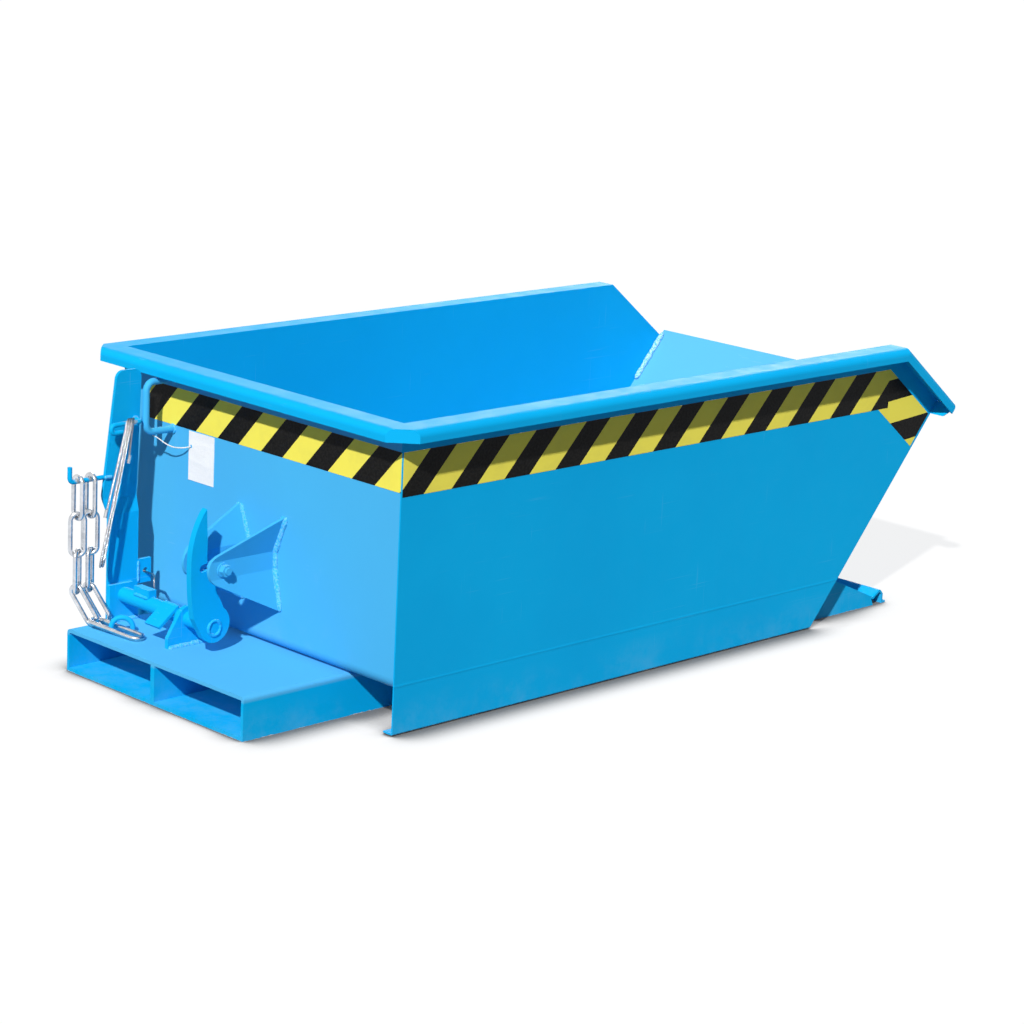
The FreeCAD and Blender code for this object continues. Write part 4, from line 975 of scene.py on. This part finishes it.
def card_material():
    """Plain card: fine pulp in its tone and its height, long soft folds in its height, and painted shade of
    the folds in its tone.
    """
    made, tree, shader, place = new_material("Tag card")
    pulp = ramp(tree, noise(tree, place, 320.0, 5.0, 0.7), 0.3, 0.75)
    creased = stretched(tree, place, (1.0, 14.0, 34.0), (0.5, 0.0, 0.0))
    fold_and_shade = ramp(tree, noise(tree, creased, 1.0, 2.0), 0.35, 0.75)
    # Painted shade: the folds also lighten and darken the card's colour
    shade = sums(tree, "MULTIPLY", sums(tree, "ADD", pulp, fold_and_shade), 0.5)
    tree.links.new(blend_colour(tree, shade, *CARD_TONES), shader.inputs["Base Color"])
    tree.links.new(ramp(tree, pulp, 0.0, 1.0, 0.55, 0.75), shader.inputs["Roughness"])
    bump(tree, shader, sums(tree, "ADD", sums(tree, "MULTIPLY", pulp, 0.2), fold_and_shade), 0.0012, 0.6)
    return made


def twine_material():
    """Twine: fibres of fine noise, in its tone and in its height."""
    made, tree, shader, place = new_material("Tag twine")
    fibre = ramp(tree, noise(tree, stretched(tree, place, (300.0, 900.0, 900.0)), 1.0, 3.0), 0.3, 0.7)
    tree.links.new(blend_colour(tree, fibre, *TWINE_TONES), shader.inputs["Base Color"])
    shader.inputs["Roughness"].default_value = 0.8
    bump(tree, shader, fibre, 0.0004, 0.8)
    return made


class SKIP_OT_tag(bpy.types.Operator):
    """Gives the blank tag its card and its twine"""
    bl_idname = "skip.tag"
    bl_label = "Tag and twine"

    def execute(self, context):
        dress(["tag"], card_material())
        radius = context.scene.skip_rope.twine / 2.0
        route = at(TWINE_ROUTE)
        piece = cord_curve("tag_twine", route, twine_material(), radius)
        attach(piece, "hopper")
        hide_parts("tag_string")
        return {"FINISHED"}


# Studio

FLOOR_HALF = 14.0
FLOOR_BOUNCE = 0.22
FLOOR_GLOW = 0.84
CONTACT_REACH = 0.08
SKY_COLOUR = (0.54, 0.73, 1.0, 1.0)
MAIN_WAY = (-0.657, -0.416, 0.629)
MAIN_SPREAD = 1.6
MAIN_COLOUR = (1.0, 0.985, 0.96)
FILL_WAY = (0.74, 0.60, 0.30)
FILL_SPREAD = 20.0
FILL_COLOUR = (0.94, 0.97, 1.0)
LAMP_FAR = 6.0
CAMERA_PLACE = (-3.5798, -3.6318, 1.5147)
CAMERA_RIGHT = np.array([0.71413728, -0.69843951, 0.04679949])
CAMERA_DOWN = np.array([-0.14020517, -0.20821671, -0.96798157])
CAMERA_FORWARD = np.array([0.68582101, 0.68471019, -0.24662014])
PICTURE_WIDTH = 1024.0
FOCAL_PIXELS = 2964.05
SENSOR_WIDTH = 36.0


def backdrop_rays(tree):
    """Rays that see the white backdrop: the camera's, also through glass, and these with reflections."""
    rays = tree.nodes.new("ShaderNodeLightPath").outputs
    seen = sums(tree, "MAXIMUM", rays["Is Camera Ray"], rays["Is Transmission Ray"])
    return seen, sums(tree, "MAXIMUM", seen, rays["Is Glossy Ray"])


class SKIP_OT_stage(bpy.types.Operator):
    """Sets up the floor, the light and the camera"""
    bl_idname = "skip.stage"
    bl_label = "Studio"

    def execute(self, context):
        stage = context.scene.skip_stage
        scene = context.scene
        scene.view_settings.view_transform = "Standard"
        self.make_floor(stage)
        self.make_world(stage)
        self.make_sun("Main light", stage.sun, MAIN_WAY, MAIN_SPREAD, MAIN_COLOUR, True)
        self.make_sun("Fill light", stage.fill, FILL_WAY, FILL_SPREAD, FILL_COLOUR, False)
        self.make_camera(scene)
        return {"FINISHED"}

    def make_floor(self, stage):
        """A flat sheet under the skip: a grid of two corners each way at the floor's height. The camera sees
        it white but for the shadow and a shade close to what stands on it. It throws little light back."""
        x, y = np.meshgrid((-FLOOR_HALF, FLOOR_HALF), (-FLOOR_HALF, FLOOR_HALF), indexing="ij")
        points = np.stack((x.ravel(), y.ravel(), np.zeros(4)), axis=1)
        made, tree, shader, _ = new_material("Studio floor")
        shader.inputs["Roughness"].default_value = 0.9
        shader.inputs["Specular IOR Level"].default_value = 0.1
        seen, pale = backdrop_rays(tree)
        dim = tuple(value * FLOOR_BOUNCE for value in stage.floor)
        tree.links.new(blend_colour(tree, pale, dim, tuple(stage.floor)), shader.inputs["Base Color"])
        near = add(tree, "ShaderNodeAmbientOcclusion", {"Distance": CONTACT_REACH})
        glow = add(tree, "ShaderNodeEmission", {"Color": WHITE})
        tree.links.new(ramp(tree, near.outputs["AO"], 0.5, 1.0), glow.inputs["Strength"])
        share = sums(tree, "MULTIPLY", seen, FLOOR_GLOW)
        mixed = add(tree, "ShaderNodeMixShader", None, {0: share, 1: shader.outputs[0], 2: glow.outputs[0]})
        tree.links.new(mixed.outputs[0], tree.nodes["Material Output"].inputs["Surface"])
        floor = put_mesh("studio_floor", points, [[0, 2, 3, 1]], made, smooth=False)

    def make_world(self, stage):
        """Even light from all round, with a white backdrop for what the camera and the metal see."""
        world = bpy.data.worlds.new("Studio")
        bpy.context.scene.world = world
        world.use_nodes = True
        tree = world.node_tree
        soft = tree.nodes["Background"]
        soft.inputs["Color"].default_value = SKY_COLOUR
        soft.inputs["Strength"].default_value = stage.sky
        white = add(tree, "ShaderNodeBackground", {"Color": WHITE, "Strength": 1.0})
        _, pale = backdrop_rays(tree)
        mixed = add(tree, "ShaderNodeMixShader", None, {0: pale, 1: soft.outputs[0], 2: white.outputs[0]})
        tree.links.new(mixed.outputs[0], tree.nodes["World Output"].inputs["Surface"])

    def make_sun(self, name, strength, way, spread, colour, shadow):
        """One far light: its back points along a way, and its side is level."""
        way = np.asarray(way) / np.linalg.norm(way)
        lamp = bpy.data.lights.new(name, "SUN")
        lamp.energy = strength
        lamp.angle = math.radians(spread)
        lamp.color = colour
        lamp.use_shadow = shadow
        sun = bpy.data.objects.new(name, lamp)
        bpy.context.collection.objects.link(sun)
        side = np.cross(Z_WAY, way)
        side = side / np.linalg.norm(side)
        up = np.cross(way, side)
        turn = Matrix(np.column_stack((side, up, way)).tolist())
        sun.matrix_world = turn.to_4x4()
        sun.location = tuple(way * LAMP_FAR)

    def make_camera(self, scene):
        """The photograph's camera: its place, its three directions and its focal length in pixels."""
        data = bpy.data.cameras.new("Photo camera")
        data.sensor_width = SENSOR_WIDTH
        data.lens = FOCAL_PIXELS * SENSOR_WIDTH / PICTURE_WIDTH
        data.clip_end = 100.0
        camera = bpy.data.objects.new("Photo camera", data)
        bpy.context.collection.objects.link(camera)
        turn = Matrix(np.column_stack((CAMERA_RIGHT, -CAMERA_DOWN, -CAMERA_FORWARD)).tolist()).to_4x4()
        turn.translation = CAMERA_PLACE
        camera.matrix_world = turn
        scene.camera = camera


OPERATORS = (
    SKIP_OT_paint, SKIP_OT_tape, SKIP_OT_zinc, SKIP_OT_welds, SKIP_OT_rope, SKIP_OT_tag, SKIP_OT_stage)
SETTINGS = {
    "skip_paint": SkipPaintSettings, "skip_tape": SkipTapeSettings, "skip_steel": SkipSteelSettings,
    "skip_rope": SkipRopeSettings, "skip_weld": SkipWeldSettings, "skip_stage": SkipStageSettings}


class SKIP_PT_panel(bpy.types.Panel):
    """Shows the skip's operators and settings in the sidebar"""
    bl_idname = "SKIP_PT_panel"
    bl_label = "Tipping skip"
    bl_space_type = "VIEW_3D"
    bl_region_type = "UI"
    bl_category = "Skip"

    def draw(self, context):
        for kind in OPERATORS:
            self.layout.operator(kind.bl_idname)
        for name, kind in SETTINGS.items():
            part = self.layout.box()
            for setting in kind.__annotations__:
                part.prop(getattr(context.scene, name), setting)


def register():
    for name, kind in SETTINGS.items():
        bpy.utils.register_class(kind)
        setattr(bpy.types.Scene, name, bpy.props.PointerProperty(type=kind))
    for kind in OPERATORS:
        bpy.utils.register_class(kind)
    bpy.utils.register_class(SKIP_PT_panel)


def unregister():
    bpy.utils.unregister_class(SKIP_PT_panel)
    for kind in OPERATORS:
        bpy.utils.unregister_class(kind)
    for name, kind in SETTINGS.items():
        delattr(bpy.types.Scene, name)
        bpy.utils.unregister_class(kind)


def main():
    register()
    bpy.ops.skip.paint()
    bpy.ops.skip.tape()
    bpy.ops.skip.zinc()
    bpy.ops.skip.welds()
    bpy.ops.skip.rope()
    bpy.ops.skip.tag()
    bpy.ops.skip.stage()


if __name__ == "__main__":
    main()
